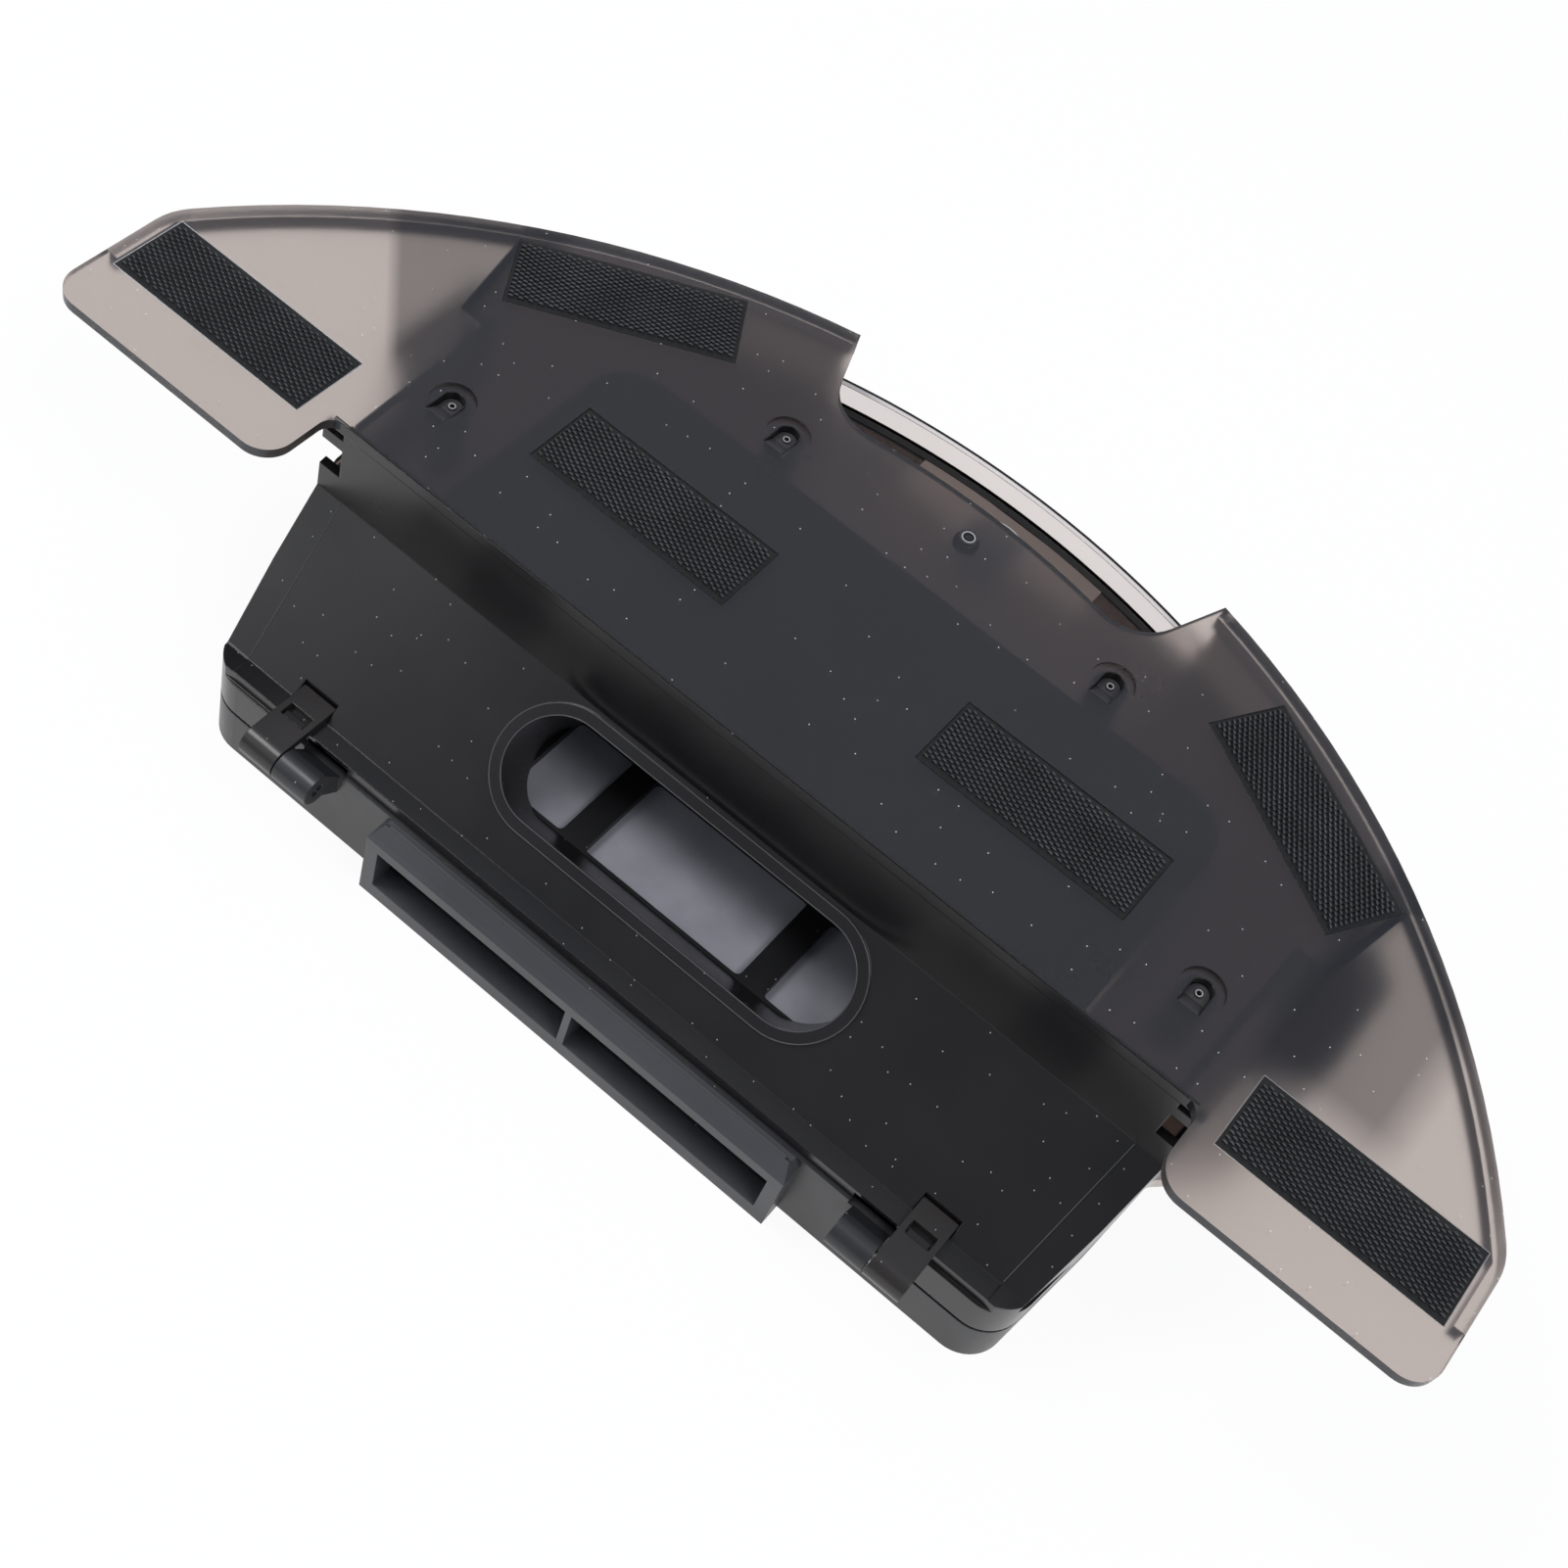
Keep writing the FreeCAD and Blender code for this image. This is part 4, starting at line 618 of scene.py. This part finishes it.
def valve_trim():
    """The pale ring as painted highlight, the dark eye and the small dot of the vent valve."""
    middle, corner = middle_and_corner("vent_valve")
    # Painted highlight: the pale ring stands for the light on the valve's rim.
    for shape, name, drop, radius, thick, material in (
            (bead, "valve_highlight_ring", 0, 1.15, 0.12, painted_highlight_rim),
            (disc, "valve_eye", 0.12, 1.0, 0.1, gloss_black),
            (bead, "valve_dot", 0.1, 0.3, 0.1, nozzle_rubber)):
        level = corner.z - drop * MM
        shape(name, middle, level, radius * MM, thick * MM, material, "tank", "nozzle_rubber")


def nozzle_trim():
    """A thin black band in the slot round each nozzle's tongue as painted shade, and a pale ring at its drip
    hole as painted highlight.
    """
    slot_half, run, shade_width = 2.19 * MM, 4.4 * MM, 0.2 * MM
    low, high = PLATE_TOP - 1.95 * MM, PLATE_TOP - 0.06 * MM
    hole_from_rear, rim_level = 3.2 * MM, PLATE_TOP - 1.28 * MM
    rim_radius, rim_thick = 0.58 * MM, 0.09 * MM
    half_round = np.linspace(0, math.pi, 25)
    for row in ("inner", "outer"):
        for side in SIDES:
            name = "%s_%s" % (row, side)
            middle, corner = middle_and_corner("drip_nozzle_" + name)
            x, y = middle.x, corner.y - hole_from_rear
            lines = []
            for reach in (slot_half - shade_width, slot_half):
                line = [(x + reach, y - run)]
                line += [(x + reach * math.cos(turn), y + reach * math.sin(turn)) for turn in half_round]
                line.append((x - reach, y - run))
                lines.append(line)
            # Painted shade: a thin black band stands for the dark gap round each tongue's end.
            vertices, faces = band(lines[0], lines[1], low, high, closed=False)
            add_piece("slot_shade_band_" + name, vertices, faces, gloss_black, "tank")
            # Painted highlight: a pale ring stands for the light caught by the rim of the drip hole.
            bead("drip_highlight_ring_" + name, (x, y), rim_level, rim_radius, rim_thick,
                 painted_highlight_rim, "tank", "nozzle_rubber")


def slant_lines():
    """Painted highlights as fine grey lines on the slanted face: both edges of the inlet's ring and one
    beside each end.
    """
    ring_middle, ring_rise = 12.9 * MM, 0.56 * MM
    half_round = np.linspace(-math.pi / 2, math.pi / 2, 25)
    for name, half_length, half_width in (("outer", 38.0, 12.0), ("inner", 35.95, 9.95)):
        straight, radius = (half_length - half_width) * MM, half_width * MM
        points = []
        for sign in (1, -1):
            for turn in half_round:
                along = sign * (straight + radius * math.cos(turn))
                points.append((along, ring_middle + sign * radius * math.sin(turn), ring_rise))
        highlight_rod("inlet_highlight_" + name, points, 0.11 * MM, True)
    top_reach, top_down = 85.1 * MM, 0.3 * MM
    foot_reach, foot_down = 82.6 * MM, 31 * MM
    for side, sign in (("right", 1), ("left", -1)):
        ends = [(sign * top_reach, top_down, 0), (sign * foot_reach, foot_down, 0)]
        highlight_rod("side_highlight_" + side, ends, 0.1 * MM, False)


def filler_ring():
    """The dark glossy ring on the cover round the filler plug, seen in the notch, with two pale rings on it
    as painted highlights.
    """
    middle, _ = middle_and_corner("filler_plug")
    inner, outer = 5.4 * MM, 7.0 * MM
    ring_foot, ring_top = COVER_TOP + 0.05 * MM, COVER_TOP + 0.3 * MM
    turns = np.linspace(0, 2 * math.pi, 60, endpoint=False)
    lines = [[(middle.x + radius * math.cos(turn), middle.y + radius * math.sin(turn)) for turn in turns]
             for radius in (inner, outer)]
    vertices, faces = band(lines[0], lines[1], ring_foot, ring_top)
    add_piece("filler_ring", vertices, faces, gloss_black, "tank")
    # Painted highlight: two pale rings stand for the light arcs on the glossy ring's edges.
    for name, radius in (("inner", 5.55 * MM), ("outer", 6.85 * MM)):
        bead("filler_highlight_bead_" + name, middle, ring_top, radius, 0.14 * MM, painted_highlight_rim, "tank", "cover_dark")


def notch_trim():
    """The dark joint along the rear wall on the tank's cover, the bare print field and a pale band as painted
    highlight on the wall's top edge.
    """
    joint_turn, rim_turn = 15.2, 14.8
    joint_top, field_top = COVER_TOP + 0.12 * MM, COVER_TOP + 0.08 * MM
    joint = (rear_arc(158.3 * MM, joint_turn), rear_arc(159.75 * MM, joint_turn))
    vertices, faces = band(*joint, COVER_TOP, joint_top, closed=False)
    add_piece("glue_line", vertices, faces, seam_and_edge_shade_black, "tank")
    half, near = 20.5 * MM, ROBOT_MIDDLE_Y + 147 * MM
    rear_radius, far_most = 158.25 * MM, 158.1 * MM
    columns = np.linspace(-half, half, 13)
    front = [(x, near) for x in columns]
    rear = [(x, min(math.sqrt(rear_radius ** 2 - x ** 2), far_most) + ROBOT_MIDDLE_Y) for x in columns]
    vertices, faces = band(front, rear, COVER_TOP, field_top, closed=False)
    add_piece("print_field", vertices, faces, print_field, "tank")
    # Painted highlight: a pale band on the wall's top edge.
    rim = (rear_arc(159.95 * MM, rim_turn), rear_arc(160.85 * MM, rim_turn))
    vertices, faces = band(*rim, WALL_TOP - 0.03 * MM, WALL_TOP + 0.05 * MM, closed=False)
    add_piece("wall_rim_highlight", vertices, faces, wall_edge_highlight, "tank")


def front_lip():
    """The dust box's fine lip at the plate's front edge, with a thin black strip behind it as painted shade
    for the dark line of the plate's rounded edge.
    """
    ends = [(-BOX_HALF_WIDTH, PLATE_FRONT_Y), (BOX_HALF_WIDTH, PLATE_FRONT_Y)]
    # Painted shade: the thin black strip stands for the dark line at the plate's rounded front edge.
    for name, near, far, low, high, material, slot in (
            ("front_lip", -0.12, 0.03, -2.6, -0.12, WEARS["dust_box"], "box_dark"),
            ("front_edge_shade", 0.1, 0.38, -0.05, 0.03, seam_and_edge_shade_black, "seal_rubber")):
        vertices, faces = band(
            [(x, y + near * MM) for x, y in ends], [(x, y + far * MM) for x, y in ends],
            PLATE_TOP + low * MM, PLATE_TOP + high * MM, closed=False)
        add_piece(name, vertices, faces, material, "tank")


patch_rims()
plug_rims()
valve_trim()
nozzle_trim()
slant_lines()
filler_ring()
notch_trim()
front_lip()


def make_floor():
    """A wide white floor that stays white for the camera and keeps a faint shadow."""
    mesh = bpy.data.meshes.new("floor")
    far = 6
    mesh.from_pydata([(-far, -far, 0), (far, -far, 0), (far, far, 0), (-far, far, 0)], [], [(0, 1, 2, 3)])
    floor = bpy.data.objects.new("floor", mesh)
    bpy.context.collection.objects.link(floor)
    surface = Surface("white_floor", Base_Color=srgb(250, 250, 251), Roughness=0.9)
    glow = surface.node("ShaderNodeEmission")
    glow.inputs["Color"].default_value = (1, 1, 1, 1)
    path = surface.node("ShaderNodeLightPath")
    camera, glossy, through = (
        surface.math("MULTIPLY", path.outputs[ray], white)
        for ray, white in (("Is Camera Ray", 0.94), ("Is Glossy Ray", 0.85), ("Is Transmission Ray", 0.2)))
    share = surface.math("MAXIMUM", surface.math("MAXIMUM", camera, glossy), through)
    mix = surface.node("ShaderNodeMixShader")
    surface.link(share, mix.inputs[0])
    surface.link(surface.shader.outputs[0], mix.inputs[1])
    surface.link(glow.outputs[0], mix.inputs[2])
    surface.link(mix.outputs[0], surface.tree.nodes["Material Output"].inputs["Surface"])
    mesh.materials.append(surface.material)


def make_world():
    """Soft studio light: brighter from behind, dimmer from the front, and plain white for the camera."""
    world = bpy.data.worlds.new("studio")
    bpy.context.scene.world = world
    world.use_nodes = True
    tree = world.node_tree
    back = tree.nodes["Background"]
    tone = tree.nodes.new("ShaderNodeMix")
    tone.data_type = "RGBA"
    tone.inputs[FIRST_COLOUR].default_value = (0.84, 0.9, 1, 1)
    tone.inputs[SECOND_COLOUR].default_value = (1, 1, 1, 1)
    coords = tree.nodes.new("ShaderNodeTexCoord")
    split = tree.nodes.new("ShaderNodeSeparateXYZ")
    ramp = tree.nodes.new("ShaderNodeMapRange")
    ramp.interpolation_type = "SMOOTHSTEP"
    for socket, value in (("From Min", -0.9), ("From Max", 0.6), ("To Min", 0.31), ("To Max", 0.57)):
        ramp.inputs[socket].default_value = value
    path = tree.nodes.new("ShaderNodeLightPath")
    mix = tree.nodes.new("ShaderNodeMix")
    mix.inputs[SECOND_NUMBER].default_value = 1
    for start, end in (
            (coords.outputs["Generated"], split.inputs["Vector"]),
            (split.outputs["Y"], ramp.inputs["Value"]),
            (path.outputs["Is Camera Ray"], mix.inputs["Factor"]),
            (path.outputs["Is Camera Ray"], tone.inputs["Factor"]),
            (ramp.outputs["Result"], mix.inputs[FIRST_NUMBER]),
            (tone.outputs[MIXED_COLOUR], back.inputs["Color"]),
            (mix.outputs[MIXED_NUMBER], back.inputs["Strength"])):
        tree.links.new(start, end)


def make_lamp(name, place, size, power):
    """A square soft lamp that points at the part."""
    lamp = bpy.data.lights.new(name, "AREA")
    lamp.shape = "RECTANGLE"
    lamp.size = lamp.size_y = size
    lamp.energy = power
    piece = bpy.data.objects.new(name, lamp)
    piece.location = place
    piece.rotation_mode = "QUATERNION"
    piece.rotation_quaternion = (-Vector(place)).to_track_quat("-Z", "Y")
    bpy.context.collection.objects.link(piece)


def make_camera():
    """The photograph's view of the part, as fitted to its outline."""
    camera = bpy.data.cameras.new("camera")
    camera.sensor_width = 36
    camera.lens = 54.004
    camera.clip_start, camera.clip_end = 0.01, 50
    right = Vector((0.76851091, 0.59690749, 0.23041793))
    down = Vector((0.61315545, -0.58414227, -0.53180655))
    ahead = Vector((-0.18284246, 0.54998115, -0.81491679))
    place = (0.075615, -0.230694, 0.361307)
    turn = Matrix((right, -down, -ahead)).transposed().to_4x4()
    piece = bpy.data.objects.new("camera", camera)
    piece.matrix_world = Matrix.Translation(place) @ turn
    bpy.context.collection.objects.link(piece)
    bpy.context.scene.camera = piece


make_camera()
make_floor()
make_world()
make_lamp("left", (-0.62, -0.25, 1.2), size=0.42, power=6.5)
make_lamp("right", (0.62, -0.3, 1.2), size=0.42, power=5.5)
make_lamp("side", (-0.9, -0.9, 0.8), size=0.8, power=2.5)
bpy.context.scene.view_settings.view_transform = "Standard"
